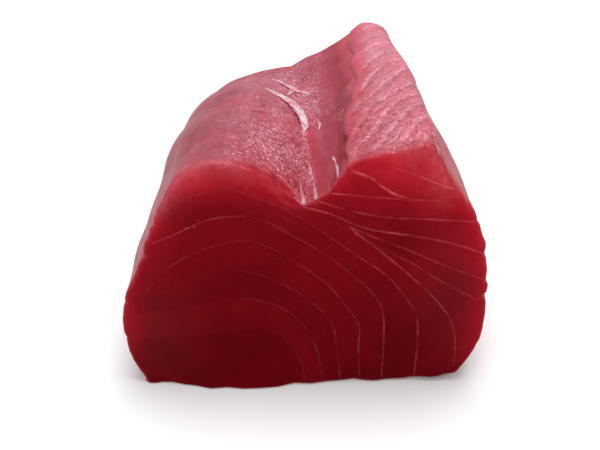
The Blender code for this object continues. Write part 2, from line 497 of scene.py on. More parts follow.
# How far a lip runs along for each step across beside the near cut, how much of that is lost
# further back, and at what depth.
SLANT, SLANT_LOST, SLANT_DEPTH = 1.5, 1.1, 110
# Where in a flake its next lip starts to climb, how quickly a lip falls away, and the trough.
LIP_CLIMB, LIP_FALL = 0.84, 0.17
TROUGH, TROUGH_WIDTH = 0.80, 0.10


def ridge_flakes(points):
    """How far through its flake each ridge point is: 0 at the near lip, almost 1 at the next lip."""
    across, depth = points[:, 0] - RIDGE_MIDDLE, points[:, 1]
    slant = SLANT - SLANT_LOST * np.clip(depth / SLANT_DEPTH, 0, 1)
    bend = 0.014 * across ** 2 * (across < 0)
    bent = depth - slant * across + bend + 4.5 * wander(points, 19, 3) + 1.3 * wander(points, 4.5, 4)
    return np.mod((bent - FIRST_LIP) / FLAKE, 1.0)


def lip_of(flake):
    """1 along a flake's raised lip, which climbs quickly and falls away slowly behind."""
    return np.where(flake > 0.5, rise(flake, LIP_CLIMB, 1.0), np.exp(-flake / LIP_FALL))


def trough_of(flake):
    """1 in the low line just before a lip."""
    return bell(flake, TROUGH, TROUGH_WIDTH)


print("flakes along the ridge:", round(LENGTH / FLAKE))

# %% [markdown]
# ## Steps and lumps
#
# Three small steps run along the top: both sides of the bare strip, and the ridge's rolled edge.
# A step is hollow before and lipped after, and dies away on both sides, so it needs no wall of its
# own. The rolled edge also swells into rounded lumps, two flakes or so apiece, with a notch
# between one lump and the next. A sine with its lower half turned up gives that row of arches.

# %% Steps and lumps
STEP_SHARPNESS = 0.35
LUMP = 23
LUMP_SWELL = 1.6
# Where the first lump begins, and how far noise shifts the notches.
FIRST_LUMP, LUMP_DRIFT = 6, 9


def step_at(offset, height, reach):
    """A small step up at offset 0, hollow before it and lipped after it."""
    return height * np.tanh(offset / STEP_SHARPNESS) * np.exp(-np.abs(offset) / reach)


def lump_of(points):
    """How far the ridge's left edge swells out, from one notch between its lumps to the next."""
    depth = points[:, 1] - FIRST_LUMP + LUMP_DRIFT * wander(points, 21, 30)
    return LUMP_SWELL * np.abs(np.sin(np.pi * depth / LUMP))


print("lumps along the ridge:", round(LENGTH / LUMP))

# %% [markdown]
# ## The combed fold beside the cut
#
# Where the lobe folds down into the groove, the knife dragged the soft flesh with it. The film
# ends there in a comb of slanting shreds, and elsewhere it stops short of the cut in a plain
# ragged line. Both come from one number, the distance to the nearer cut, disturbed by round noise
# everywhere and by long slanted noise in the fold.

# %% The fold and the distance from the cut
# How much further the film runs towards the far cut than towards the near one.
END_SPARE = 3
# Which way the shreds of the fold run, and how long and wide they are.
COMB_ACROSS, COMB_BACK = 0.74, 0.67
SHRED_SIZE = (5.0, 1.0, 1.0)


def fold_of(across):
    """1 over the fold of the lobe, left of the groove."""
    return rise(across, -28, -16) * fall(across, -5, -1)


def combed_by(across, beyond):
    """Random values from -1 to 1 in streaks that run down to the groove."""
    along = COMB_ACROSS * across - COMB_BACK * beyond
    aslant = COMB_BACK * across + COMB_ACROSS * beyond
    return wander(np.column_stack((along, aslant, 0 * along)), SHRED_SIZE, 25)


def from_cut(points):
    """The ragged distance from the nearer cut, combed in the fold, and how far in the fold it is."""
    fold = fold_of(points[:, 0])
    combed = combed_by(points[:, 0], points[:, 1])
    near = np.minimum(points[:, 1], LENGTH + END_SPARE - points[:, 1])
    ragged = near + 1.6 * wander(points, 3.0, 14) + 0.8 * wander(points, 1.2, 15)
    return ragged + fold * (5.0 * combed - 1.0), fold


print("fold, mm wide:", int(fold_of(np.arange(-60, 60)).sum()))

# %% [markdown]
# ## Where the torn film lies
#
# Pulling the skin off leaves its film behind, torn and white, but not evenly: thick on the slope
# that runs down to the groove and on the whole ridge, thin over the round of the lobe, and none
# on the flanks but for a few flecks on the left one, beside the near cut. This share is worked
# out once for each point. It then drives the relief, the pale flecks of the material and the
# slivers that are scattered later, so all three thicken together.

# %% The share of frost
# More frosted patches of the top: middle, reach and strength.
FROST_PATCHES = [((-8, 104), (13, 20), 0.40), ((-3, 38), (5, 14), 0.25), ((-1, 80), (5, 18), 0.30),
                 ((-15, 10.5), (6, 3), 0.40)]
# Depth, reach and strength of the few flecks on the left flank.
FLANK_FLECKS = (6, 7, 0.4)
# The frost in front of the forked strand, drawn out along the loin.
FORK_MIDDLE, FORK_STRETCH = (1, 82), 3


def lobe_frost(points, ragged, fold):
    """Film on the lobe's inner slope, thinner towards the far end and combed away beside the cut."""
    depth = points[:, 1]
    lobe = rise(points[:, 0], -40, -6) ** 1.3 * fall(right_of(FILM_RIGHT, points), -0.4, 1.2)
    lobe *= (1.0 - 0.66 * rise(depth, 30, 100)) * (1 - fold * 0.94 * fall(ragged, 2.5, 6.5))
    before_ridge = fall(right_of(RIDGE_EDGE, points), -5, 0)
    for middle, reach, strength in FROST_PATCHES:
        lobe += strength * patch(points[:, :2], middle, reach) * before_ridge
    return lobe


def ridge_frost(points, ragged):
    """Film on the ridge, thickest along the lips of its flakes."""
    ridge = rise(right_of(RIDGE_EDGE, points), -1.0, 4.0) * (0.95 - 0.35 * rise(points[:, 1], 50, 110))
    ridge *= 0.08 + 0.92 * rise(ragged + 1.6 * wander(points, 2.2, 28), 0.6, 5.0)
    return ridge * (0.45 + 0.65 * lip_of(ridge_flakes(points)))


def frost_share(points, place):
    """How frosted with torn film each point is, from 0 to 1."""
    depth = points[:, 1]
    ragged, fold = from_cut(points)
    from_fork = np.hypot(points[:, 0] - FORK_MIDDLE[0], (depth - FORK_MIDDLE[1]) / FORK_STRETCH)
    fork = 0.5 * fall(from_fork, 3, 8)
    wall = 0.40 * rise(right_of(STRIP_RIGHT, points), 0.5, 2.5)
    wall *= fall(right_of(RIDGE_EDGE, points), -3, 0) * rise(depth, 34, 52) * fall(depth, 70, 95)
    wall *= np.clip(0.2 + 2.2 * wander(points, 6, 26), 0, 1)
    frost = lobe_frost(points, ragged, fold) + ridge_frost(points, ragged) + fork + wall
    patchy = np.clip(0.75 + 0.8 * wander(points, 9, 9), 0.2, 1)
    fleck_depth, fleck_reach, flecks = FLANK_FLECKS
    flank = flecks * between(place, "flank_left", "shoulder", 0.8) * bell(depth, fleck_depth, fleck_reach)
    return (np.clip(frost, 0, 1) * between(place, "shoulder", "flank_right", 0.8) + flank) * patchy


middle = outline(0.5)
middle_points = np.column_stack((middle[:, 0], np.full(len(middle), LENGTH / 2), middle[:, 1]))
print("frost half way along, most:", frost_share(middle_points, PLACES).max().round(2))

# %% [markdown]
# ## Where the film has crackled
#
# As the film dries it shrinks into flecks, and dark wet flesh shows in the gaps. That happens
# where it lay thick: deep in the slope's fold and on the near half of the ridge. The share is kept
# apart from the frost, because at the far end the film is pale and still whole.

# %% The share of crackle
def crackle_share(points, place):
    """How far the film has shrunk into flecks with dark flesh between, from 0 to 1."""
    depth = points[:, 1]
    fold = rise(points[:, 0], -24, -9) * fall(right_of(STRIP_LEFT, points), -0.6, 0.8)
    fold *= 1.0 - rise(depth, 26, 62)
    slope = 0.45 * rise(points[:, 0], -30, -10) * fall(right_of(FILM_RIGHT, points), -0.6, 0.8)
    slope *= rise(depth, 50, 62)
    ridge = rise(right_of(RIDGE_EDGE, points), -1.0, 4.0) * (0.75 - 0.45 * rise(depth, 10, 90))
    return np.clip(fold + slope + ridge, 0, 1) * between(place, "shoulder", "flank_right", 0.8)


print("crackle half way along, most:", crackle_share(middle_points, PLACES).max().round(2))

# %% [markdown]
# ## Seams on the flanks
#
# The membranes that show on the cut run the whole length of the loin, and come out on its flanks
# as faint level seams. They are plainest close to the cuts, where the knife has loosened the
# flakes. A seam is a narrow groove with a slight swelling above it, at a height that wanders.

# %% Seams on the flanks
# Heights at which flakes end on each flank, and how deep the seam between them is.
RIGHT_SEAMS = ((69.4, 0.4), (62.6, 0.7), (51.0, 0.8), (41.0, 0.6), (35.0, 1.3))
LEFT_SEAMS = ((61.5, 0.4), (50.5, 0.5), (32.0, 0.5), (19.0, 0.3))
SEAM_WIDTH = 0.9
SWELL_ABOVE, SWELL_REACH = 4, 2.5
SEAM_FADE = 9.0


def flank_seams(points, place, from_end):
    """Depth of the seams where membranes come out on the flanks."""
    up = points[:, 2] + 1.2 * wander(points, 14, 18)
    right = between(place, "flank_right", "heel_right") * (points[:, 0] > 0)
    left = between(place, "heel_left", "shoulder") * (points[:, 0] < 0)
    depth = np.zeros(len(points))
    for side, seams in ((right, RIGHT_SEAMS), (left, LEFT_SEAMS)):
        for height, deep in seams:
            groove = bell(up, height, SEAM_WIDTH)
            swelling = 0.25 * bell(up - height, SWELL_ABOVE, SWELL_REACH)
            depth += side * deep * (groove - swelling)
    return depth * (0.25 + 0.75 * math.exp(-from_end / SEAM_FADE))


print("deepest seam, mm:", max(deep for _, deep in RIGHT_SEAMS + LEFT_SEAMS))

# %% [markdown]
# ## Relief of the outside
#
# Nothing on raw fish is truly smooth. A bump map would only fake the light and leave the outline
# of the ridge as clean as a pipe, so the relief is real: a height in millimetres for each point,
# pushed out along the surface. It adds up the lips of the ridge, the steps and the rolled edge,
# slow unevenness everywhere, fine tearing where there is frost, nicks beside the knife's cuts,
# and the seams of the flanks. It all dies out at the floor, so that the loin stands flat.

# %% Relief of the outside
# How far from a cut its nicks reach, and how far up from the floor the relief is held back.
NICK_REACH = 5.0
FLAT_FOOT = 5.0


def ridge_relief(points, place):
    """Height of the flake lips, lower to the right and towards the far end."""
    flake = ridge_flakes(points)
    uneven = np.clip(0.75 + 0.9 * wander(points, 8, 8), 0.1, 1.3)
    uneven *= 1 - 0.7 * rise(points[:, 0], 27, 37)
    uneven *= 1 - 0.55 * rise(points[:, 1], 65, 105)
    lip = (0.75 * lip_of(flake) - 0.22 * trough_of(flake)) * uneven
    on_ridge = rise(right_of(RIDGE_EDGE, points), -0.5, 2.5)
    return lip * on_ridge * between(place, "ridge_foot", "flank_right")


def edge_relief(points, place):
    """Height of the steps beside the bare strip and of the ridge's rolled edge."""
    depth = points[:, 1]
    on_top = between(place, "crown", "ridge_top", 0.5)
    steps = on_top * fall(depth, 44, 58) * (step_at(right_of(STRIP_LEFT, points), 0.40, 1.5)
                                            + step_at(right_of(STRIP_RIGHT, points), 0.22, 1.6))
    edge = right_of(RIDGE_EDGE, points) + lump_of(points)
    roll = on_top * np.where(edge < 0, 0.45, 1.0) * step_at(edge, 1.0, 3.0)
    return steps + roll * (1 - 0.68 * rise(depth, 55, 90))


def uneven_relief(points, place, frost):
    """Slow unevenness, lumps at the far end, tearing in the film, and the slit."""
    height = 0.18 * wander(points, 9, 7) + 0.03 * wander(points, 1.5, 10)
    far_lumps = np.clip(wander(points, 10, 21), -0.2, 1) * rise(points[:, 1], 82, 112)
    height += 0.9 * far_lumps * between(place, "brow", "groove")
    height += frost * (0.18 * wander(points, (1.3, 2.2, 1.6), 5) + 0.12 * wander(points, 0.8, 6))
    return height - 0.45 * near_line(SLIT, points, 0.7) * between(place, "crown", "ridge_top", 0.5)


def outside_relief(points, place, frost, from_end):
    """Height of the outer surface of one outline, which lies from_end from the nearer cut."""
    height = ridge_relief(points, place) + uneven_relief(points, place, frost)
    flanks = between(place, "flank_right", "base_right", 0.4)
    flanks = flanks + between(place, "base_left", "shoulder", 0.4)
    nicks = 0.40 * wander(points, 2.6, 22) + 0.35 * wander(points, 6.0, 23)
    nicks = nicks * math.exp(-from_end / NICK_REACH)
    height = height * min(1.0, 0.35 + from_end / 6) + edge_relief(points, place) + flanks * nicks
    height -= flank_seams(points, place, from_end)
    return height * np.clip(points[:, 2] / FLAT_FOOT, 0, 1)


relief_there = outside_relief(middle_points, PLACES, frost_share(middle_points, PLACES), LENGTH / 2)
print("relief half way along, mm:", relief_there.min().round(2), "to", relief_there.max().round(2))

# %% [markdown]
# ## Flakes of a cut face
#
# On the cut each flake lies a hair above or below its neighbours, because the knife drags every
# one a little differently. To step them they must be told apart. A membrane line, closed into an
# area far outside the face, splits the face in two, and the sum of all such answers is a number
# that always differs between neighbours. The far cut is the same muscle further on, so the near
# lines are carried to it with the rim.

# %% Telling the flakes apart
# How far past the face the closed areas run.
BEYOND_SIDE, BEYOND_TOP, BEYOND_FLOOR = 40, 150, -50
FLAKE_NUMBER_STEP = 1.37
# How sharply, and from what least distance, the rim pulls on a point of the face.
PULL_POWER, PULL_SPARE = 1.5, 4.0


def inside(points, polygon):
    """Which points lie inside a closed polygon."""
    x, y = points[:, 0][:, None], points[:, 1][:, None]
    x1, y1 = polygon[:, 0], polygon[:, 1]
    x2, y2 = np.roll(x1, -1), np.roll(y1, -1)
    crosses = (y1 > y) != (y2 > y)
    at = x1 + (y - y1) / np.where(y2 == y1, 1e-9, y2 - y1) * (x2 - x1)
    return (np.sum(crosses & (x < at), axis=1) % 2).astype(bool)


def flake_numbers(flat, lines):
    """A number for each flake of a cut face, from which membranes it lies beyond."""
    number = np.zeros(len(flat))
    for weight, (name, line) in enumerate(lines.items(), start=1):
        if name.startswith(("fan", "ridge")):
            aside = line[-1, 0] + BEYOND_SIDE
            beyond = [(aside, line[-1, 1]), (aside, BEYOND_TOP), (line[0, 0], BEYOND_TOP)]
        else:
            beyond = [(line[-1, 0], BEYOND_FLOOR), (-90, BEYOND_FLOOR), (-90, line[0, 1] - 10)]
        number += weight * FLAKE_NUMBER_STEP * inside(flat, np.vstack((line, beyond)))
    return number


def to_far_face(flat):
    """Carries points of the near face to where they lie on the far one, as the rim moves."""
    near, far = outline(0.0), outline(1.0)
    apart = ((flat[:, None] - near[None]) ** 2).sum(axis=2)
    pull = 1 / (apart + PULL_SPARE) ** PULL_POWER
    return flat + (pull / pull.sum(axis=1, keepdims=True)) @ (far - near)


FAR_LINES = {name: to_far_face(line) for name, line in MEMBRANE_LINES.items()}
print("the outer arch's foot moves, mm:", (FAR_LINES["outer"][-1] - MEMBRANE_LINES["outer"][-1]).round(1))

# %% [markdown]
# ## Relief of a cut face
#
# A sharp knife leaves a cut almost flat, and the eye still finds it alive: flakes stepped by a
# fraction of a millimetre, a slow swell, and a shallow seam along each membrane. On a glossy face
# even that little bends the reflections.

# %% Relief of the cuts
FLAKE_STEP = 0.14
SEAM_DEPTH = 0.22
SEAM_REACH = 0.7


def face_relief(flat, seams, flakes):
    """Height of a cut face, from the distances to the membranes and the flake numbers."""
    solid = np.column_stack((flat[:, 0], np.zeros(len(flat)), flat[:, 1]))
    slow = 0.30 * wander(solid, 21, 11) + 0.05 * wander(solid, 3, 12)
    return FLAKE_STEP * np.sin(flakes * 5.1) + slow - SEAM_DEPTH * bell(seams, 0, SEAM_REACH)


print("flakes are stepped by up to, mm:", 2 * FLAKE_STEP)

# %% [markdown]
# ## The palette
#
# The broad colours follow the form: lilac over the lobe, rose in the groove, bright pink on the
# ridge, deep red low on the flanks. They could come from a procedural ramp, but it would know
# nothing of the groove. So each rail has two tones, one at either cut, and a point's colour is
# mixed from the rails on both sides of it. Raw flesh turns orange very easily, so green is kept
# lowest of the three in every tone and blue a little above it.

# %% The palette
PALETTE = {
    "lilac": (0.280, 0.040, 0.064),
    "grey_lilac": (0.266, 0.020, 0.040),
    "frost_lilac": (0.375, 0.042, 0.068),
    "rose": (0.288, 0.029, 0.053),
    "deep_rose": (0.252, 0.013, 0.031),
    "strip_red": (0.290, 0.013, 0.031),
    # A painted red highlight where the bare strip ends.
    "strip_highlight": (0.470, 0.020, 0.055),
    "pink": (0.515, 0.128, 0.175),
    "pale_pink": (0.492, 0.152, 0.196),
    "coral": (0.430, 0.052, 0.080),
    "flank_rose": (0.300, 0.022, 0.040),
    "flank_red": (0.250, 0.008, 0.018),
    "wine": (0.170, 0.006, 0.014),
    "film": (0.700, 0.300, 0.370),
    # Painted shade for the slit in the fold.
    "slit_shade": (0.200, 0.006, 0.016),
    "mist": (0.400, 0.115, 0.160),
    "rim_flesh": (0.420, 0.044, 0.064),
    "rim_flesh_right": (0.400, 0.024, 0.036),
    "fold_flesh": (0.430, 0.030, 0.046),
    "fold_flesh_deep": (0.340, 0.012, 0.022),
    "combed_flesh": (0.410, 0.036, 0.052),
    "blush_lobe": (0.500, 0.105, 0.135),
    "blush_ridge": (0.530, 0.088, 0.105),
}
# For each rail, its colour at the near cut and at the far one.
RAIL_TONES = {
    "base_left": ("wine", "wine"), "heel_left": ("wine", "wine"),
    "belly_left": ("flank_red", "flank_red"), "flank_left": ("grey_lilac", "grey_lilac"),
    "shoulder": ("grey_lilac", "grey_lilac"), "brow": ("grey_lilac", "lilac"),
    "crown": ("lilac", "lilac"), "slope": ("frost_lilac", "lilac"),
    "groove": ("frost_lilac", "rose"), "low_step": ("rose", "rose"),
    "high_step": ("deep_rose", "rose"), "ridge_foot": ("deep_rose", "deep_rose"),
    "ridge_left": ("coral", "coral"), "ridge_top": ("pink", "pale_pink"),
    "ridge_right": ("pink", "pale_pink"), "flank_right": ("flank_rose", "flank_rose"),
    "waist": ("flank_rose", "flank_rose"), "belly_right": ("flank_red", "flank_rose"),
    "chamfer": ("flank_red", "flank_rose"), "heel_right": ("wine", "wine"),
    "base_right": ("wine", "wine"),
}


def blend(tone, share, colour):
    """Lays a colour over one tone or each point's own, by a share from 0 to 1."""
    share = np.asarray(share)[:, None]
    return np.asarray(tone) * (1 - share) + np.asarray(colour) * share


def rail_tone(points, place):
    """The tone between the rails, from the near cut to the far one."""
    tones = np.array([[PALETTE[near], PALETTE[far]] for near, far in RAIL_TONES.values()])
    i = place.astype(int)
    s = (place - i)[:, None, None]
    mixed = tones[i] * (1 - s) + tones[(i + 1) % len(tones)] * s
    return blend(mixed[:, 0], np.clip(points[:, 1] / LENGTH, 0, 1), mixed[:, 1])


print("tones:", len(PALETTE))

# %% [markdown]
# ## Painting the outside
#
# On the rail tones lie the things that follow their own lines: the red strip, with a painted red
# highlight where it ends, a pale mist over the far part of the slope, paler film on the ridge's lips
# and painted shade in its troughs, its coral rolled edge with painted shade in the crease beside
# it, and painted shade in the slit. Last, beside the cuts, the flesh shows through the film: evenly
# along the rim, in combed shreds in the fold, and further back on the right flank.

# %% Paint of the outside
STRIP_END_REACH = (2.0, 3.2)
MIST_MIDDLE, MIST_REACH = (-8, 106), (13, 24)
FLANK_BARE_REACH = 22


def top_tone(tone, points, place):
    """Lays the bare strip, with a painted red highlight where it ends, and the far mist over the tone."""
    in_groove = between(place, "slope", "ridge_foot", 0.5)
    strip = rise(right_of(STRIP_LEFT, points), 0, 0.8) * fall(right_of(STRIP_RIGHT, points), -0.8, 0)
    tone = blend(tone, strip * fall(points[:, 1], 45, 62) * in_groove, PALETTE["strip_red"])
    # Painted highlight: the strip is a brighter red where it ends.
    end_highlight = 0.8 * patch(points[:, :2], STRIP_END, STRIP_END_REACH)
    tone = blend(tone, end_highlight * in_groove, PALETTE["strip_highlight"])
    mist = 0.55 * patch(points[:, :2], MIST_MIDDLE, MIST_REACH)
    mist *= fall(right_of(RIDGE_EDGE, points), -10, -2) * between(place, "brow", "ridge_foot", 0.5)
    mist *= np.clip(0.8 + 0.6 * wander(points, 6, 27), 0.2, 1.2)
    return blend(tone, mist, PALETTE["mist"])


def ridge_tone(tone, points, place):
    """Lays pale lips and the rolled edge on the ridge, and painted shade in troughs, crease and slit."""
    edge, depth = right_of(RIDGE_EDGE, points), points[:, 1]
    flake = ridge_flakes(points)
    on_ridge = rise(edge, 0, 3) * between(place, "ridge_foot", "flank_right")
    # Painted shade: the troughs before the lips are darkened, less towards the far end.
    trough = trough_of(flake) * (0.26 - 0.16 * rise(depth, 60, 100))
    tone = tone * (1 + on_ridge * (0.18 * wander(points, 3.2, 16) - trough))[:, None]
    lips = on_ridge * lip_of(flake) ** 1.5 * np.clip(0.50 + 1.5 * wander(points, 4.0, 24), 0, 1)
    tone = blend(tone, 0.85 * lips * (1 - 0.6 * rise(depth, 70, 115)), PALETTE["film"])
    lumpy = edge + lump_of(points) - 0.8
    rolled = 0.8 * bell(lumpy, 1.2, 2.0) * between(place, "high_step", "ridge_top", 0.5)
    tone = blend(tone, rolled, PALETTE["coral"])
    # Painted shade: the crease beside the rolled edge is darkened, more towards the far end.
    crease = bell(lumpy, -1.0, 0.9) * between(place, "groove", "ridge_top", 0.5)
    tone = tone * (1 - (0.12 + 0.16 * rise(depth, 60, 90)) * crease)[:, None]
    # Painted shade: the slit's real groove is also painted a deep red.
    slit = 0.9 * near_line(SLIT, points, 0.8) * between(place, "crown", "ridge_foot", 0.5)
    return blend(tone, slit, PALETTE["slit_shade"])


def flank_bare(place, ragged):
    """How bare the right flank is beside the cut, where the ridge's film ends."""
    beside_cut = bell(np.clip(ragged, 0, None), 0, FLANK_BARE_REACH)
    return between(place, "ridge_right", "chamfer", 1.0) * beside_cut


def fold_bare(ragged):
    """How bare the combed end of the fold is."""
    return fall(ragged, 3.0, 7.5)


def outside_tone(points, place):
    """The painted colour of the outside."""
    tone = ridge_tone(top_tone(rail_tone(points, place), points, place), points, place)
    ragged, fold = from_cut(points)
    reach = 1.8 + 3.4 * rise(right_of(RIDGE_EDGE, points), 0, 6)
    bare = (1 - fold) * 0.80 * np.exp(-np.clip(ragged, 0, None) / reach)
    bare += fold * 0.95 * fold_bare(ragged)
    bare = np.maximum(bare, 0.85 * flank_bare(place, ragged))
    on_rim = blend(PALETTE["rim_flesh"], rise(points[:, 0], 34, 40), PALETTE["rim_flesh_right"])
    in_fold = blend(PALETTE["fold_flesh"], fall(ragged, 1, 6), PALETTE["fold_flesh_deep"])
    return blend(tone, bare, blend(on_rim, fold, in_fold))


print("mean tone half way along:", outside_tone(middle_points, PLACES).mean(axis=0).round(3))

# %% [markdown]
# ## Painting the cuts
#
# Muscle lets light in. Near the rim and high up, where light enters from above as well, the red is
# bright, and the thick heart of the lobe is dark wine red. Full scattering could do that, but it
# costs much time and is hard to steer, so this light is painted: the depth of the red follows the
# distance to the rim, with painted pools of light where the real flesh is thin and a painted grey
# sheen low on both sides. At the top edge the film's blush runs a little way down, raggedly.

# %% Paint of the cuts
CUT_DARK = np.array((0.115, 0.0010, 0.0035))
CUT_RED = np.array((0.300, 0.0050, 0.0130))
CUT_BRIGHT = np.array((0.50, 0.0140, 0.0260))
SHEEN_TINGE = np.array((-0.010, 0.0032, 0.0034))
# Places with a painted grey sheen, by middle and reach, and painted pools of light, by strength too.
CUT_SHEEN_SPOTS = [((-50, 22), (14, 20)), ((50, 38), (14, 24))]
CUT_POOLS = [((31, 81), (19, 12), 0.66), ((-27, 78), (24, 8), 0.47), ((-60, 28), (6, 24), 0.22),
             ((60, 28), (8, 26), 0.35), ((50, 58), (15, 16), 0.22), ((-52, 58), (9, 9), 0.14),
             ((20, 44), (16, 12), 0.06)]


def flesh_depth(flat, edge, flakes):
    """Painted light in the red of the flesh, from the distance to the rim, and a painted grey sheen."""
    up = flat[:, 1]
    light = 0.40 * np.exp(-edge / 4.0) * np.clip(up / 60, 0.1, 1) + 0.16 * np.clip(up / 80, 0, 1)
    for middle, reach, strength in CUT_POOLS:
        light += strength * patch(flat, middle, reach)
    light = np.clip(light + 0.03 * np.sin(flakes * 3.7), 0, 1.2)[:, None]
    tone = CUT_DARK + (CUT_RED - CUT_DARK) * np.clip(light / 0.5, 0, 1)
    tone = tone + (CUT_BRIGHT - CUT_RED) * np.clip((light - 0.5) / 0.5, 0, 1)
    # Painted sheen: a faint grey tinge low on both sides of the cut.
    for middle, reach in CUT_SHEEN_SPOTS:
        tone = tone + patch(flat, middle, reach)[:, None] * SHEEN_TINGE
    return tone


def cut_tone(flat, edge, flakes):
    """The painted colour of a cut face, with shreds in the fold and the blush of the top edge."""
    across, up = flat[:, 0], flat[:, 1]
    tone = flesh_depth(flat, edge, flakes)
    shreds = fold_of(across) * rise(up, 50, 60) * np.exp(-edge / 3.6)
    shreds *= np.clip(0.25 + 2.0 * combed_by(across, up), 0, 1)
    tone = blend(tone, 0.75 * shreds, PALETTE["combed_flesh"])
    lobe = fall(across, -24, -8) * (1 - 0.45 * fall(across, -50, -34))
    ridge = rise(across, 20, 34) * fall(across, 40, 48)
    around = np.column_stack((flat, across))
    shake = wander(around, 2.6, 17) + 0.5 * wander(around, 1.1, 29)
    ragged = np.clip(edge + (0.9 + 1.6 * rise(across, 20, 34)) * shake, 0, None)
    blush = np.exp(-ragged / (0.9 + 1.3 * lobe + 2.3 * ridge)) * rise(up, 58, 70)
    blush = np.clip(blush * (0.05 + 0.90 * lobe + 0.80 * ridge), 0, 0.95)
    return blend(tone, blush, blend(PALETTE["blush_lobe"], ridge, PALETTE["blush_ridge"]))


heart, heart_edge = np.array([(-10.0, 30.0)]), np.array([35.0])
print("tone of the heart:", cut_tone(heart, heart_edge, np.zeros(1)).round(3))

# %% [markdown]
# ## Gathering the body
#
# The body is one closed skin: a grid of outlines for the sides, rings that turn the rim, and a net
# for each cut face. Python lists gather its points and faces, which is simpler here than editing
# a mesh step by step. Each point also carries what is painted on it: its tone, and its
# shares of frost, of crackle and of skin, meaning how film-covered and dull it is.

# %% Gathering points, paint and faces
class Body:
    """Gathers the points of the body, what is painted on them, and the faces between them."""

    def __init__(self):
        self.layers = {"points": [], "tone": [], "frost": [], "skin": [], "crackle": []}
        self.faces = []
        self.count = 0

    def add(self, points, **painted):
        """Adds points with their paint, and gives the number of the first one."""
        first = self.count
        self.layers["points"].append(points)
        for name, values in painted.items():
            shape = (len(points), 3) if name == "tone" else (len(points),)
            self.layers[name].append(np.broadcast_to(values, shape))
        self.count += len(points)
        return first

    def every(self, name):
        """All values of one layer, in the order of the points."""
        return np.concatenate(self.layers[name])

    def bridge(self, first, second, size):
        """Joins two rings of the same size with a band of faces."""
        for i in range(size):
            after = (i + 1) % size
            self.faces.append((first + i, first + after, second + after, second + i))


body = Body()
print("layers of the body:", ", ".join(body.layers))

# %% [markdown]
# ## The sides
#
# A row of outlines about three quarters of a millimetre apart makes the sides. Each is pushed out
# by its relief and painted from its own points. The rim is rounded by the knife and by handling,
# but left crisper in the groove, so the first and last outlines stand back from the cut by the
# rim's radius, which changes round the loin.

# %% Build the sides
STATIONS = 175
RIM_RADIUS = 1.4
# How far the middle of a cut is domed out.
FACE_CROWN = 1.0
RIM = RIM_RADIUS - 0.85 * between(PLACES, "slope", "ridge_foot", 1.0)
# How film-covered the outside is: fully on top, a little on the flanks and underneath.
SKIN = 0.3 + 0.7 * between(PLACES, "shoulder", "ridge_right", 1.2)
# How far back into the loin the sagging foot is felt.
FOOT_REACH = 20.0


def skin_share(points):
    """How film-covered each point of an outline is: less where the fold or flank is bare."""
    ragged, fold = from_cut(points)
    skin = SKIN * (1 - 0.65 * fold * fold_bare(ragged))
    return skin * (1 - 0.75 * flank_bare(PLACES, ragged))


def add_station(along):
    """Adds one outline of the sides, and gives its first point's number."""
    flat = outline(along)
    sag = foot_sag(flat) * max(0, 1 - along * LENGTH / FOOT_REACH) ** 2
    points = np.column_stack((flat[:, 0], RIM + along * (LENGTH - 2 * RIM) - sag, flat[:, 1]))
    frost = frost_share(points, PLACES)
    depth = RIM_RADIUS + along * (LENGTH - 2 * RIM_RADIUS)
    height = outside_relief(points, PLACES, frost, min(depth, LENGTH - depth))
    outward = outward_of(flat)
    points[:, 0] += outward[:, 0] * height
    points[:, 2] = np.maximum(points[:, 2] + outward[:, 1] * height, 0)
    return body.add(points, tone=outside_tone(points, PLACES), frost=frost, skin=skin_share(points),
                    crackle=crackle_share(points, PLACES))


rings = [add_station(station / STATIONS) for station in range(STATIONS + 1)]
for first, second in zip(rings, rings[1:]):
    body.bridge(first, second, len(PLACES))
print("sides:", body.count, "points")

# %% [markdown]
# ## The rims
#
# From the last outline a few rings turn through a quarter circle on to the cut face. They lean
# towards the core of the loin, and the cut itself is very slightly domed, as slack muscle is. The
# paint changes over the same rings: pink film gives way to red flesh.

# %% Build the rims
RIM_STEPS = 4
CORE = np.array((0.13, 0.38)) * (WIDTH / 2, HEIGHT)


def face_depth(flat, proud, far):
    """The depth of points that stand proud of a cut face."""
    return LENGTH + proud if far else -proud - foot_sag(flat)


def dome(share):
    """How far the cut is domed out, from the rim (share 0) to the core (share 1)."""
    return FACE_CROWN * (1 - (1 - share) ** 2)


def add_rim(side_ring, far):
    """Turns the rim from the outermost outline, and gives its last ring and that ring's points."""
    size = len(PLACES)
    sides = body.every("points")[side_ring:side_ring + size]
    rim = sides[:, [0, 2]]
    to_core = CORE - rim
    reach = np.linalg.norm(to_core, axis=1)
    outside, frost, skin = outside_tone(sides, PLACES), frost_share(sides, PLACES), skin_share(sides)
    crackle = crackle_share(sides, PLACES)
    previous = side_ring
    for step in range(1, RIM_STEPS + 1):
        angle = np.pi / 2 * step / RIM_STEPS
        drawn = RIM * (1 - np.cos(angle))
        flat = rim + to_core * (drawn / reach)[:, None]
        depth = face_depth(flat, dome(drawn / reach) - RIM * (1 - np.sin(angle)), far)
        mix = step / (RIM_STEPS + 1)
        red = np.full(size, min(mix * 1.25, 1))
        tone = blend(outside, red, cut_tone(flat, drawn, np.zeros(size)))
        ring = body.add(np.column_stack((flat[:, 0], depth, flat[:, 1])), tone=tone,
                        frost=frost * (1 - 0.6 * mix), skin=skin * (1 - mix), crackle=crackle * (1 - mix))
        body.bridge(*((previous, ring) if far else (ring, previous)), size)
        previous = ring
    return previous, rim + to_core * (RIM / reach)[:, None]


near_rim = add_rim(rings[0], False)
far_rim = add_rim(rings[-1], True)
print("with the rims:", body.count, "points")

# %% [markdown]
# ## The cut faces
#
# One big polygon across the cut could carry no relief, and rings shrinking to a centre would crowd
# there into a star. A constrained Delaunay fill makes an even net of small triangles that meets
# the rim point by point. The near cut gets a net twice as fine as the far one, because it is
# looked at closely.

# %% Build the cut faces
NET_NEAR, NET_FAR = 0.85, 1.7


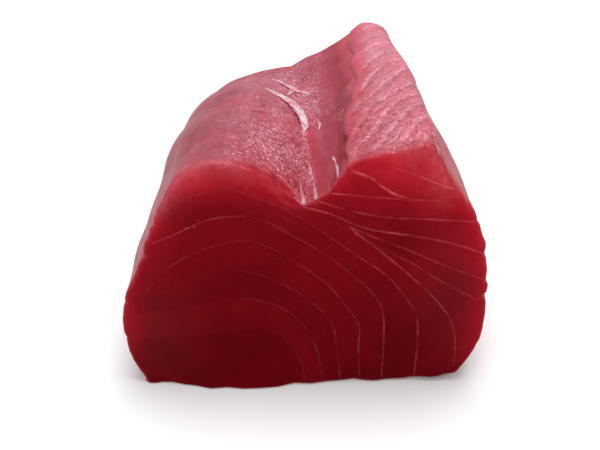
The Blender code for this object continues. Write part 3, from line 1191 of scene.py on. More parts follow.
def cut_net(rim, spacing):
    """The rim's points with an even net inside them, and the triangles between all of these."""
    low, high = rim.min(axis=0), rim.max(axis=0)
    rows = np.arange(low[1], high[1], spacing * math.sqrt(3) / 2)
    net = np.array([(x + (k % 2) * spacing / 2, z) for k, z in enumerate(rows)
                    for x in np.arange(low[0], high[0], spacing)])
    net = net[inside(net, rim)]
    net = net[distance_to(net, np.vstack((rim, rim[:1]))) > spacing * 0.6]
    corners = [Vector(point) for point in np.vstack((rim, net))]
    _, _, triangles, origin, _, _ = delaunay_2d_cdt(corners, [], [list(range(len(rim)))], 1, 1e-6)
    return net, [[origin[k][0] for k in triangle] for triangle in triangles]


def share_of(flat, rim):
    """How far from the rim to the core each point is, 0 to 1."""
    from_core = rim - CORE
    angle = np.arctan2(from_core[:, 1], from_core[:, 0])
    order = np.argsort(angle)
    reach = np.linalg.norm(from_core, axis=1)[order]
    rel = flat - CORE
    limit = np.interp(np.arctan2(rel[:, 1], rel[:, 0]), angle[order], reach, period=2 * np.pi)
    return np.clip(1 - np.linalg.norm(rel, axis=1) / limit, 0, 1)


def add_cut(first, ring, far):
    """Fills a cut face inside its rim's last ring, whose first point's number is given."""
    net, triangles = cut_net(ring, NET_FAR if far else NET_NEAR)
    lines = FAR_LINES if far else MEMBRANE_LINES
    plain = outline(1.0 if far else 0.0)
    edge = distance_to(net, np.vstack((plain, plain[:1])))
    seams = np.min([distance_to(net, line) for line in lines.values()], axis=0)
    flakes = flake_numbers(net, lines)
    relief = face_relief(net, seams, flakes) * np.clip((edge - RIM_RADIUS) / 3, 0, 1)
    depth = face_depth(net, dome(share_of(net, plain)) + relief, far)
    start = body.add(np.column_stack((net[:, 0], depth, net[:, 1])), tone=cut_tone(net, edge, flakes),
                     frost=0.0, skin=0.0, crackle=0.0)
    size = len(PLACES)
    for triangle in triangles:
        corners = [first + k if k < size else start + k - size for k in triangle]
        body.faces.append(tuple(corners[::-1] if far else corners))


add_cut(*near_rim, False)
add_cut(*far_rim, True)
body_points = body.every("points")
print("body:", body.count, "points,", len(body.faces), "faces")

# %% [markdown]
# ## Into place, as a mesh
#
# So far everything is in millimetres from the near cut. The plain block is centred, so one
# move carries the finished points onto it, and the object itself stays at the origin, unturned
# and unscaled. Paint goes on as point attributes. An image would need unwrapping and blurs close
# up, while attributes ride on the points and cost nothing.

# %% Mesh helpers
def centred_shift():
    """The move that centres the points, as the plain block is."""
    everything = np.vstack([outline(along) for along in np.linspace(0, 1, 31)])
    middle_across = (everything[:, 0].min() + everything[:, 0].max()) / 2
    return np.array((-middle_across, block_high[1] - LENGTH / 2 - FACE_CROWN - LENGTH / 2, 0.0))


SHIFT = centred_shift()


def new_piece(name, points, faces, material):
    """A mesh object from points in millimetres measured from the near cut."""
    mesh = bpy.data.meshes.new(name)
    mesh.from_pydata(((np.asarray(points) + SHIFT) * MM).tolist(), [], faces)
    mesh.validate()
    mesh.shade_smooth()
    mesh.materials.append(material)
    piece = bpy.data.objects.new(name, mesh)
    bpy.context.scene.collection.objects.link(piece)
    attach(piece, "root")
    return piece


def paint(mesh, name, kind, values):
    """Stores one value for each point of a mesh."""
    layer = mesh.attributes.new(name, kind, "POINT")
    field = {"FLOAT": "value", "FLOAT_COLOR": "color", "FLOAT_VECTOR": "vector"}[kind]
    layer.data.foreach_set(field, np.asarray(values, np.float32).ravel())


print("shift onto the block, mm:", SHIFT.round(2))

# %% [markdown]
# ## A short way to wire nodes
#
# Materials and node trees are both webs of nodes, and written out link by link they are long and
# hard to read. This small class adds a node and plugs its inputs in one line. An input is named
# by its socket, or by at_ and its number where sockets share a name.

# %% Wiring helper
class Wiring:
    """Adds nodes to a tree: inputs are given by socket name, as values or other outputs."""

    def __init__(self, tree):
        self.tree = tree

    def plug(self, node, **inputs):
        """Sets a node's inputs, each to a value or from another node's output."""
        for key, value in inputs.items():
            socket = node.inputs[int(key[3:]) if key.startswith("at_") else key.replace("_", " ")]
            if isinstance(value, bpy.types.NodeSocket):
                self.tree.links.new(value, socket)
            else:
                socket.default_value = value

    def add(self, kind, settings=None, give=0, **inputs):
        """Adds a node, and gives one of its outputs, or all of them for None."""
        node = self.tree.nodes.new(kind)
        for key, value in (settings or {}).items():
            setattr(node, key, value)
        self.plug(node, **inputs)
        return node.outputs if give is None else node.outputs[give]

    def math(self, operation, a, b=0.0, clamp=False):
        """Works out one sum, held between 0 and 1 if clamp says so."""
        settings = {"operation": operation, "use_clamp": clamp}
        return self.add("ShaderNodeMath", settings, at_0=a, at_1=b)

    def times(self, a, b, clamp=False):
        """One number times another."""
        return self.math("MULTIPLY", a, b, clamp)

    def grain(self, vector, scale, detail=3.0, roughness=0.55, distortion=0.0):
        """Noise from 0 to 1, with about scale lumps to the metre."""
        return self.add("ShaderNodeTexNoise", Vector=vector, Scale=scale, Detail=detail,
                        Roughness=roughness, Distortion=distortion, give="Fac")

    def drawn_out(self, vector, stretch, degrees=0.0):
        """Coordinates in which a grain comes out stretched, and turned by so much."""
        return self.add("ShaderNodeMapping", {"vector_type": "TEXTURE"}, Vector=vector,
                        Rotation=(0, 0, math.radians(degrees)), Scale=stretch)

    def ramp(self, value, low, high, to_low=0.0, to_high=1.0):
        """Maps low..high of a value onto two others, with soft ends."""
        return self.add("ShaderNodeMapRange", {"interpolation_type": "SMOOTHSTEP"}, Value=value,
                        From_Min=low, From_Max=high, To_Min=to_low, To_Max=to_high)

    def mix(self, share, a, b, blend_type="MIX"):
        """A colour that goes from a to b as share goes from 0 to 1."""
        settings = {"data_type": "RGBA", "blend_type": blend_type}
        return self.add("ShaderNodeMix", settings, at_0=share, at_6=a, at_7=b, give=2)

    def either(self, share, a, b):
        """A number that goes from a to b as share goes from 0 to 1."""
        return self.add("ShaderNodeMix", {"data_type": "FLOAT"}, at_0=share, at_2=a, at_3=b)

    def painted(self, name, output="Fac"):
        """What is painted on the points under that name."""
        return self.add("ShaderNodeAttribute", {"attribute_name": name}, give=output)


def new_material(name):
    """A material, its shader and the wiring of its nodes."""
    material = bpy.data.materials.new(name)
    material.use_nodes = True
    return material, material.node_tree.nodes["Principled BSDF"], Wiring(material.node_tree)


print("wiring helpers:", sum(callable(value) for value in vars(Wiring).values()))

# %% [markdown]
# ## The grain of the flesh
#
# The painted tones are smooth, and flesh never is. Three noises disturb them: broad mottling a
# centimetre or two across, fine cell-like mottling, and streaks drawn out along the muscle. A few
# wisps of film lie on top, too thin to have an edge. All of them read object coordinates, so the
# pattern runs through the whole piece without a seam.

# %% Grain of the flesh
MUSCLE_STRETCH = 9.0
WISP_PINK = (0.58, 0.23, 0.29, 1)
WISP_SHARE = 0.14


def flesh_grain(w, place, skin):
    """The painted tone with its mottling and wisps, and the long streaks for the bump."""
    broad = w.ramp(w.grain(place, 55, 3), 0.3, 0.7, 0.88, 1.12)
    fine = w.ramp(w.grain(place, 420, 4, 0.65), 0.3, 0.7, -1.0, 1.0)
    fine = w.math("ADD", 1.0, w.times(fine, w.ramp(skin, 0.0, 1.0, 0.055, 0.10)))
    along_muscle = w.drawn_out(place, (1.0, MUSCLE_STRETCH, 1.0))
    streaks = w.grain(along_muscle, 520, 3, 0.6)
    streak_tint = w.times(w.ramp(streaks, 0.3, 0.7, -0.06, 0.06), skin)
    shade = w.times(broad, w.math("ADD", fine, streak_tint))
    grey = w.add("ShaderNodeCombineColor", Red=shade, Green=shade, Blue=shade)
    color = w.mix(1.0, w.painted("tone", "Color"), grey, "MULTIPLY")
    wisp = w.ramp(w.grain(along_muscle, 120, 5, 0.62, 0.4), 0.50, 0.72)
    wisp = w.times(w.times(wisp, skin), WISP_SHARE)
    return w.mix(wisp, color, WISP_PINK), streaks


print("streaks, drawn out times:", MUSCLE_STRETCH)

# %% [markdown]
# ## Torn film as flecks
#
# The frost on the slope and ridge is made in two layers. The finest shreds are too small and too
# many to model, so the material shows them: thresholded noise, stretched down the slope on the
# lobe and across it on the ridge, with dark wet gaps where the film has crackled. Real slivers
# come on top of it later.

# %% Flecks and gaps
FLECK_PINK = (0.90, 0.37, 0.47, 1)
GAP_RED = (0.230, 0.003, 0.012, 1)
# Which way, in degrees, and how far flecks are drawn out, on the lobe and on the ridge.
FLECK_WAYS = ((-40, 2.2), (46, 1.5))


def torn_film(w, place):
    """How much pale fleck and how much dark gap shows at each point."""
    flecks, gaps = [], []
    for degrees, stretch in FLECK_WAYS:
        drawn = w.drawn_out(place, (stretch, 1.0, 1.0), degrees)
        flecks.append(w.ramp(w.grain(drawn, 1000, 4, 0.7, 0.6), 0.51, 0.59))
        gaps.append(w.ramp(w.grain(drawn, 640, 4, 0.7, 1.4), 0.52, 0.45))
    on_ridge = w.painted("ridge")
    fleck, gap = w.either(on_ridge, *flecks), w.either(on_ridge, *gaps)
    speck = w.ramp(w.grain(place, 1700, 3, 0.7), 0.57, 0.66)
    shreds = w.math("MAXIMUM", fleck, w.times(speck, 0.8))
    film = w.times(w.painted("frost"), shreds, True)
    return film, w.times(w.painted("crackle"), gap, True)


print("fleck colour:", FLECK_PINK[:3])

# %% [markdown]
# ## The flesh material
#
# Now the layers meet in one material. The cut is wet and smooth, the film is duller but catches
# more light along its torn edges, so roughness, gloss and bump all follow the painted share of
# skin. A little subsurface scattering softens the edges, as it does in real muscle. It stays
# shallow, or the fine threads would drown in it.

# %% The flesh material
# How far gaps and flecks cover the painted tone.
GAP_COVER, FLECK_COVER = 0.92, 0.72
# What film, pores, gaps and streaks add to the bump, or take from it.
BUMP_FILM, BUMP_PORES, BUMP_GAP, BUMP_STREAKS = 0.5, 0.35, 0.9, 0.25


def flesh_material():
    """Wet flesh on the cuts and film-covered flesh outside, in one material."""
    material, shader, w = new_material("raw_flesh")
    place = w.add("ShaderNodeTexCoord", give="Object")
    skin = w.painted("skin")
    color, streaks = flesh_grain(w, place, skin)
    film, gap = torn_film(w, place)
    color = w.mix(w.times(gap, GAP_COVER), color, GAP_RED)
    color = w.mix(w.times(film, FLECK_COVER), color, FLECK_PINK)
    rough = w.ramp(w.grain(place, 300, 3), 0.3, 0.7, 0.30, 0.42)
    rough = w.math("ADD", rough, w.times(skin, 0.10))
    pores = w.times(w.grain(place, 900, 4, 0.6), BUMP_PORES)
    height = w.math("ADD", w.times(film, BUMP_FILM), pores)
    height = w.math("SUBTRACT", height, w.times(gap, BUMP_GAP))
    streaks = w.times(w.times(streaks, skin), BUMP_STREAKS)
    height = w.math("ADD", height, streaks)
    bump = w.add("ShaderNodeBump", Strength=0.6, Distance=0.00025, Height=height)
    gloss = w.ramp(skin, 0.0, 1.0, 0.012, 0.24)
    w.plug(shader, Base_Color=color, Roughness=rough, Normal=bump, Specular_IOR_Level=gloss,
           Subsurface_Weight=0.35, Subsurface_Radius=(1.0, 0.28, 0.2), Subsurface_Scale=0.0025)
    return material


FLESH = flesh_material()
print("flesh material:", len(FLESH.node_tree.nodes), "nodes")

# %% [markdown]
# ## The loin takes the block's place
#
# The body becomes an object and gets its paint, and the plain block is hidden.
# Frost is kept off the cut faces, because film only lies where skin was.

# %% Make the loin
loin = new_piece("loin_flesh", body_points, body.faces, FLESH)
all_frost = body.every("frost")
all_skin = body.every("skin")
body_tones = body.every("tone")
off_cut = rise(all_skin, 0.0, 0.3)
paint(loin.data, "tone", "FLOAT_COLOR", np.column_stack((body_tones, np.ones(body.count))))
paint(loin.data, "frost", "FLOAT", all_frost * off_cut)
paint(loin.data, "skin", "FLOAT", all_skin)
paint(loin.data, "crackle", "FLOAT", body.every("crackle"))
paint(loin.data, "ridge", "FLOAT", rise(right_of(RIDGE_EDGE, body_points), -1, 1))
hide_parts("loin")
print("loin_flesh triangles:", sum(len(face) - 2 for face in body.faces))

# %% [markdown]
# ## Laying things on the surface
#
# Threads and films follow the flesh closely. A Shrinkwrap modifier could press them on, but it
# slides points sideways into the seams. Here a ray is dropped on the finished body from above,
# from in front or from behind, and gives the point it hits and the way out of the flesh there. A
# second helper looks up the painted tone nearby, so that a thread can fade into that flesh.

# %% Rays onto the body
body_tree = BVHTree.FromPolygons(((body_points + SHIFT) * MM).tolist(), body.faces)
finder = KDTree(body.count)
for k, point in enumerate(body_points.tolist()):
    finder.insert(point, k)
finder.balance()
# Where rays start, well off the body, and the way they go.
RAY_STARTS = {"top": (200.0, (0, 0, -1)), "near": (-100.0, (0, 1, 0)), "far": (300.0, (0, -1, 0))}


def laid(flat, side):
    """Points in millimetres on the body, and the outward directions there, below flat points."""
    away, way = RAY_STARTS[side]
    points, normals = [], []
    for a, b in flat:
        start = (a, b, away) if side == "top" else (a, away, b)
        hit, normal, _, _ = body_tree.ray_cast((Vector(start) + Vector(SHIFT)) * MM, Vector(way))
        if hit is not None:
            points.append(np.array(hit) / MM - SHIFT)
            normals.append(np.array(normal))
    return np.array(points), np.array(normals)


def tones_near(points):
    """The body's painted colour at each point."""
    return body_tones[[finder.find(point)[1] for point in points.tolist()]]


print("crown of the lobe at the near cut, mm high:", laid([(-27, 5)], "top")[0][0, 2].round(1))

# %% [markdown]
# ## A thread along a line
#
# Membranes, strands of sinew and creases all start as a plain line of edges. A node tree turns the
# line into a curve, gives it the width stored on its points and sweeps a small ring along it. The
# ring can be pressed flat, so one tree makes round threads and thin ribbons alike. Each point of
# the ring remembers how far to the side it is, which lets the material fade a ribbon's edges.

# %% The thread tree
THREAD_INPUTS = (("Lines", "Geometry", None), ("Sides", "Int", 8), ("Thickness share", "Float", 1.0))


def begin_tree(name, inputs, output):
    """The wiring of a new tree with inputs of (name, kind, default), and what they give."""
    tree = bpy.data.node_groups.new(name, "GeometryNodeTree")
    for label, kind, default in inputs:
        socket = tree.interface.new_socket(label, in_out="INPUT", socket_type="NodeSocket" + kind)
        if default is not None:
            socket.default_value = default
    tree.interface.new_socket(output, in_out="OUTPUT", socket_type="NodeSocketGeometry")
    return Wiring(tree), tree.nodes.new("NodeGroupInput").outputs


def stored(w, name, kind="FLOAT"):
    """Reads an attribute stored on the points."""
    return w.add("GeometryNodeInputNamedAttribute", {"data_type": kind}, Name=name, give="Attribute")


def store(w, geometry, name, value):
    """Stores a number on every point under a name."""
    settings = {"data_type": "FLOAT", "domain": "POINT"}
    return w.add("GeometryNodeStoreNamedAttribute", settings, Geometry=geometry, Name=name, Value=value)


def finish_tree(w, geometry, material):
    real = w.add("GeometryNodeRealizeInstances", Geometry=geometry)
    smooth = w.add("GeometryNodeSetShadeSmooth", Geometry=real)
    done = w.add("GeometryNodeSetMaterial", Geometry=smooth, Material=material)
    w.tree.links.new(done, w.tree.nodes.new("NodeGroupOutput").inputs[0])
    print(w.tree.name, "tree:", len(w.tree.nodes), "nodes")
    return w.tree


def thread_tree(name, material):
    """The tree that sweeps a ring along every line it is given."""
    w, given = begin_tree(name, THREAD_INPUTS, "Threads")
    curve = w.add("GeometryNodeMeshToCurve", Mesh=given["Lines"])
    curve = w.add("GeometryNodeSetCurveNormal", {"mode": "FREE"}, Curve=curve,
                  Normal=stored(w, "sideways", "FLOAT_VECTOR"))
    ring = w.add("GeometryNodeCurvePrimitiveCircle", Resolution=given["Sides"], Radius=0.5)
    position = w.add("GeometryNodeInputPosition")
    across = w.add("ShaderNodeSeparateXYZ", Vector=position, give="X")
    ring = store(w, ring, "to_side", w.times(w.math("ABSOLUTE", across), 2.0))
    press = w.add("ShaderNodeCombineXYZ", X=1.0, Y=given["Thickness share"], Z=1.0)
    ring = w.add("GeometryNodeTransform", Geometry=ring, Scale=press)
    swept = w.add("GeometryNodeCurveToMesh", Curve=curve, Profile_Curve=ring,
                  Scale=stored(w, "width"), Fill_Caps=True)
    return finish_tree(w, swept, material)


print("inputs of the thread tree:", len(THREAD_INPUTS))

# %% [markdown]
# ## Growing a tree into a piece
#
# A modifier that stays live is worked out again on every change. So a tree is run once: its inputs
# are set, the result is kept as a plain mesh and the modifier is taken off. The lines it grows from
# are meshes too, of edges only, and carry width, paleness, the sideways direction and the tone of
# the flesh below on their points.

# %% Grow a piece from lines
def grown(name, mesh, tree, **sizes):
    """Runs a node tree on a mesh and keeps the result as a plain piece."""
    piece = bpy.data.objects.new(name, mesh)
    bpy.context.scene.collection.objects.link(piece)
    modifier = piece.modifiers.new("grow", "NODES")
    modifier.node_group = tree
    for label, value in sizes.items():
        modifier[tree.interface.items_tree[label.replace("_", " ")].identifier] = value
    graph = bpy.context.evaluated_depsgraph_get()
    finished = bpy.data.meshes.new_from_object(piece.evaluated_get(graph))
    piece.modifiers.remove(modifier)
    piece.data = finished
    finished.name = name
    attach(piece, "root")
    print(name, "triangles:", sum(len(face.vertices) - 2 for face in finished.polygons))


def line_mesh(name, threads):
    """A mesh of edges from threads of (points, outward directions, widths, shows), in millimetres."""
    mesh = bpy.data.meshes.new(name)
    points, sideways, edges = [], [], []
    widths, shows = (np.concatenate([thread[part] for thread in threads]) for part in (2, 3))
    for line, outward, _, _ in threads:
        edges.extend((len(points) + k, len(points) + k + 1) for k in range(len(line) - 1))
        points.extend(line)
        sideways.extend(np.cross(np.gradient(line, axis=0), outward))
    points = np.array(points)
    mesh.from_pydata(((points + SHIFT) * MM).tolist(), edges, [])
    paint(mesh, "sideways", "FLOAT_VECTOR", np.array(sideways))
    paint(mesh, "width", "FLOAT", widths * MM)
    paint(mesh, "show", "FLOAT", shows)
    paint(mesh, "tone", "FLOAT_COLOR", np.column_stack((tones_near(points), np.ones(len(points)))))
    return mesh


print("each line carries: sideways, width, show, tone")

# %% [markdown]
# ## What threads are made of
#
# Connective tissue is milky and half clear: a thin shred is the colour of the flesh below it, and
# only where it bunches up does it turn white. Real transparency is slow and noisy in such thin
# pieces. So the material goes from the painted flesh tone, by way of a pink, to the pale tint, as
# plainly as the thread shows there, and always fades towards its sides.

# %% The material of threads
def thread_material(name, low, high, roughness, gloss, edge=0.1, half_way=None):
    """Goes from low, or the flesh below, to high by how plainly the thread shows.

    The paleness starts to fade at the share edge of the way from the middle to the side."""
    material, shader, w = new_material(name)
    place = w.add("ShaderNodeTexCoord", give="Object")
    broken = w.ramp(w.grain(place, 700, 3, 0.6), 0.3, 0.65, 0.55, 1.1)
    show = w.times(w.painted("show"), broken, True)
    show = w.times(show, w.ramp(w.painted("to_side"), 1.0, edge))
    color = low or w.painted("tone", "Color")
    if half_way:
        color = w.mix(w.ramp(show, 0.0, 0.45), color, half_way)
        show = w.ramp(show, 0.35, 0.85)
    rough = w.ramp(w.grain(place, 1200, 2), 0.3, 0.7, roughness - 0.05, roughness + 0.08)
    bump = w.add("ShaderNodeBump", Strength=0.3, Distance=0.0001, Height=w.grain(place, 2200, 3, 0.6))
    w.plug(shader, Base_Color=w.mix(show, color, high), Roughness=rough, Normal=bump,
           Specular_IOR_Level=gloss, Subsurface_Weight=0.3, Subsurface_Radius=(1.0, 0.35, 0.3),
           Subsurface_Scale=0.001)
    print(name, "nodes:", len(w.tree.nodes))
    return material


MEMBRANE_PINK = (0.78, 0.135, 0.15, 1)
MEMBRANE = thread_material("fine_membrane", None, MEMBRANE_PINK, 0.4, 0.012)
membrane_tree = thread_tree("membrane_threads", MEMBRANE)

# %% [markdown]
# ## The membranes on the cuts
#
# The membrane between two flakes is thinner than paper. On a cut it shows as a hairline, pale
# where it stands up to the light and lost where the flesh has closed over it. Painting it on the
# face would need points a tenth of a millimetre apart. So each is a very flat ribbon, half sunk in
# its seam, whose width and paleness wander along it. The lines of the fan start brightest, at the
# groove.

# %% Lay the membranes
FLAT_THREAD = 0.12
# How quickly a membrane narrows towards its two tips.
TAPER = 12


def membrane(name, line, face, seed):
    """One membrane of a face, ready for the thread tree."""
    points, normals = laid(line, face)
    through = np.linspace(0, 1, len(points))
    strength = np.interp(through, (0, 0.5, 1), MEMBRANES[name][1])
    shake = wander(points, 6, 20 + seed)
    fine = wander(points, 1.6, 40 + seed)
    widths = 1.00 + 0.30 * strength + 0.30 * shake
    widths *= np.clip(0.3 + (1 - through) * TAPER, 0, 1) * np.clip(0.35 + through * TAPER, 0, 1)
    shows = 0.34 * strength * np.clip(0.62 + 0.75 * shake + 0.55 * fine, 0.0, 1.3)
    if name.startswith("fan"):
        shows += 0.50 * np.exp(-np.arange(len(shows)) * 0.4)
    return points, normals, widths, shows


for face, lines in (("near", MEMBRANE_LINES), ("far", FAR_LINES)):
    threads = [membrane(name, line, face, seed) for seed, (name, line) in enumerate(lines.items())]
    grown(face + "_membranes", line_mesh(face + "_lines", threads), membrane_tree, Sides=12,
          Thickness_share=FLAT_THREAD)

# %% [markdown]
# ## Slivers of torn film
#
# Over the flecks of the material lie shreds big enough to cast a shadow: short pale fibres and
# beads, thick on the slope above the groove and on the lips of the ridge. Placing thousands by
# hand is hopeless, and hair particles would have no body. This node tree scatters one small bent
# sliver over the frosted ground, lays each flat on the surface and turns it roughly along the
# grain. Every sliver gets its own length, width and paleness from a fixed seed.

# %% One sliver, its lie and its size
# Lengths are in metres here, and the stray is in radians.
FILM_INPUTS = (("Ground", "Geometry", None), ("Per square metre", "Float", 1e6),
               ("Shortest", "Float", 0.0008), ("Longest", "Float", 0.003),
               ("Thinnest", "Float", 0.0001), ("Thickest", "Float", 0.0003),
               ("Flatness", "Float", 0.5), ("Stray", "Float", 0.5), ("Seed", "Int", 1))
# A fixed seed for each thing that is drawn by chance.
SHOW_SEED, STRAY_SEED, LENGTH_SEEDS, WIDTH_SEED = 11, 12, (13, 14), 15


def chance(w, low, high, seed):
    """A random number for each point."""
    return w.add("FunctionNodeRandomValue", at_2=low, at_3=high, Seed=seed, give=1)


def bent_sliver(w):
    """A sliver a unit long and a unit wide, slightly bent and tapered to both ends."""
    bend = w.add("GeometryNodeCurveQuadraticBezier", Resolution=4, Start=(-0.5, -0.06, 0),
                 Middle=(0, 0.14, 0), End=(0.5, -0.06, 0))
    share = w.add("GeometryNodeSplineParameter", give="Factor")
    taper = w.math("SINE", w.math("ADD", w.times(share, 0.86 * math.pi), 0.07 * math.pi))
    ring = w.add("GeometryNodeCurvePrimitiveCircle", Resolution=5, Radius=0.5)
    return w.add("GeometryNodeCurveToMesh", Curve=bend, Profile_Curve=ring, Scale=taper)


def sliver_lie(w, given, rotation):
    """Along the grain on the surface, then strayed a little either way."""
    along = w.add("FunctionNodeAlignRotationToVector", {"axis": "X", "pivot_axis": "Z"},
                  Rotation=rotation, Vector=stored(w, "grain", "FLOAT_VECTOR"))
    stray = w.times(chance(w, -1.0, 1.0, STRAY_SEED), given["Stray"])
    stray = w.add("FunctionNodeAxisAngleToRotation", Axis=(0, 0, 1), Angle=stray)
    local = {"rotation_space": "LOCAL"}
    return w.add("FunctionNodeRotateRotation", local, Rotation=along, Rotate_By=stray)


def sliver_size(w, given):
    """Length, width and thickness: most slivers are short, a few long."""
    length = w.times(*(chance(w, 0.0, 1.0, seed) for seed in LENGTH_SEEDS))
    length = w.add("ShaderNodeMapRange", Value=length, From_Min=0.0, From_Max=1.0,
                   To_Min=given["Shortest"], To_Max=given["Longest"])
    width = chance(w, given["Thinnest"], given["Thickest"], WIDTH_SEED)
    thickness = w.times(width, given["Flatness"])
    return w.add("ShaderNodeCombineXYZ", X=length, Y=width, Z=thickness)


print("inputs of the film tree:", len(FILM_INPUTS))

# %% [markdown]
# ## The film tree
#
# The tree puts these together. The frost stored on the ground sets how thickly the slivers fall,
# so they thin out exactly where the flecks of the material do.

# %% The film tree
def film_tree(name, material):
    """The tree that scatters slivers over the ground it is given."""
    w, given = begin_tree(name, FILM_INPUTS, "Film")
    density = w.times(stored(w, "frost"), given["Per square metre"])
    spread = w.add("GeometryNodeDistributePointsOnFaces", Mesh=given["Ground"], Density=density,
                   Seed=given["Seed"], give=None)
    points = store(w, spread["Points"], "show", chance(w, 0.0, 1.0, SHOW_SEED))
    laid_out = w.add("GeometryNodeInstanceOnPoints", Points=points, Instance=bent_sliver(w),
                     Rotation=sliver_lie(w, given, spread["Rotation"]), Scale=sliver_size(w, given))
    return finish_tree(w, laid_out, material)


FILM_PINK, FILM_PALE = (0.40, 0.07, 0.11, 1), (0.84, 0.45, 0.51, 1)
FILM = thread_material("torn_film", FILM_PINK, FILM_PALE, 0.42, 0.12)
scatter = film_tree("film_slivers", FILM)

# %% [markdown]
# ## The ground the film lies on
#
# Scattering over the whole body would waste most of the work on bare flesh. So only its frosted
# faces are copied, with their frost and the way the grain runs: down into the groove on the lobe,
# along the slanting flakes on the ridge. The copy is only ground: what is kept are the slivers.

# %% Lay the torn film
LEAST_FROST = 0.02


def film_ground(name, share, grain):
    """A copy of the body's frosted faces, with how frosted each point is and how the grain runs."""
    keep = share > LEAST_FROST
    chosen = [face for face in body.faces if all(keep[k] for k in face)]
    used = sorted({k for face in chosen for k in face})
    renumber = {k: n for n, k in enumerate(used)}
    mesh = bpy.data.meshes.new(name)
    placed = ((body_points[used] + SHIFT) * MM).tolist()
    mesh.from_pydata(placed, [], [tuple(renumber[k] for k in face) for face in chosen])
    paint(mesh, "frost", "FLOAT", share[used])
    paint(mesh, "grain", "FLOAT_VECTOR", grain[used])
    return mesh


def grain_way(slant):
    """The direction of the grain, one across and slant along for each point of the body."""
    return np.column_stack((np.ones(body.count), slant, np.zeros(body.count)))


on_ridge_side = right_of(RIDGE_EDGE, body_points) > 0
lobe_share = np.where(on_ridge_side, 0, all_frost ** 2.2)
lobe_grain = grain_way(-0.9 + 0.4 * wander(body_points, 12, 51))
grown("lobe_film", film_ground("lobe_ground", lobe_share, lobe_grain), scatter,
      Per_square_metre=1.0e6, Shortest=0.0004, Longest=0.0019, Thinnest=0.00024, Thickest=0.00062,
      Flatness=0.30, Stray=0.6, Seed=3)

lips_there = 0.14 + 1.5 * lip_of(ridge_flakes(body_points)) ** 2
ridge_share = np.where(on_ridge_side, all_frost * lips_there, 0)
ridge_share *= 1 - 0.9 * rise(body_points[:, 0], 36, 39)
ridge_slant = 1.0 - 0.9 * np.clip(body_points[:, 1] / SLANT_DEPTH, 0, 1)
ridge_grain = grain_way(ridge_slant + 0.3 * wander(body_points, 9, 52))
grown("ridge_film", film_ground("ridge_ground", ridge_share, ridge_grain), scatter,
      Per_square_metre=1.0e6, Shortest=0.0004, Longest=0.0022, Thinnest=0.00020, Thickest=0.00060,
      Flatness=0.35, Stray=0.7, Seed=5)

# %% [markdown]
# ## Sinew as a sheaf of fibres
#
# Where two muscles met, a tougher white skin held them together, and shreds of it still cling to
# the top. Such a shred is no plain ribbon: it is a bundle of fibres in a thin clear sheet. So each
# is laid as a sheaf: a faint wide ribbon at the bottom, a plainer narrow one on it, and loose
# fibres on top, each layer a little higher than the last.

# %% Sheaves of sinew
def sheaf(stops, seed, fibres, thickness_share, lift=0.03, plain=1.0):
    """The ribbons of one shred, through stops of (across, depth, width) in millimetres."""
    line = smooth_line(stops, 0.7)
    run = np.gradient(line[:, :2], axis=0)
    sideways = np.column_stack((-run[:, 1], run[:, 0])) / np.linalg.norm(run, axis=1)[:, None]
    width = line[:, 2]
    ribbons = []
    # Each layer: how far to the side, how wide, how plain and how high it is.
    layers = [(0.0, 1.45, 0.55, 0.0), (0.0, 0.95, 1.00, 0.30)]
    layers += [(0.46 * math.sin(seed + 2.4 * k), 0.20, 1.0, 0.62) for k in range(fibres)]
    for k, (side, share, show, above) in enumerate(layers):
        drift = side + 0.18 * wander(np.column_stack((line[:, :2], np.full(len(line), k * 7.0))), 5, seed)
        points, normals = laid(line[:, :2] + sideways * (drift * width)[:, None], "top")
        widths = np.clip(width * share * (1 + 0.35 * wander(points, 1.8, seed + k)), 0.06, None)
        points = points + normals * (lift + above * thickness_share * line[:, 2:])
        shows = plain * show * np.clip(0.95 + 0.5 * wander(points, 2.2, seed + k + 1), 0.1, 1.2)
        ribbons.append((points, normals, widths, shows))
    return ribbons


SINEW_PALE, SINEW_PINK = (0.84, 0.56, 0.60, 1), (0.62, 0.230, 0.270, 1)
SINEW = thread_material("silverskin", None, SINEW_PALE, 0.34, 0.12, edge=0.6, half_way=SINEW_PINK)
ribbon_tree = thread_tree("ribbons", SINEW)

# %% [markdown]
# ## The silverskin
#
# The largest shred is a curved white crescent on the lobe's slope, broad in the middle and drawn
# out to a point at both ends. It is the plainest thing on the top, so it gets the most fibres and
# stands a little freer of the flesh than the strands do.

# %% Lay the silverskin
# Its stops as (across, depth, width) in millimetres.
SILVERSKIN = [(-15.4, 89.4, 0.6), (-12.9, 85.8, 2.8), (-10.0, 82.4, 3.6), (-7.2, 78.9, 3.7),
              (-4.7, 75.0, 3.6), (-2.7, 69.8, 3.4), (-1.1, 64.1, 3.1), (-0.1, 58.6, 2.7),
              (0.1, 54.2, 2.0), (-0.5, 50.0, 0.6)]
SILVERSKIN_FIBRES = 9
SILVERSKIN_THICKNESS = 0.10
silverskin = sheaf(SILVERSKIN, 61, SILVERSKIN_FIBRES, SILVERSKIN_THICKNESS, lift=0.08)
grown("silverskin", line_mesh("silverskin_line", silverskin), ribbon_tree, Sides=10,
      Thickness_share=SILVERSKIN_THICKNESS)
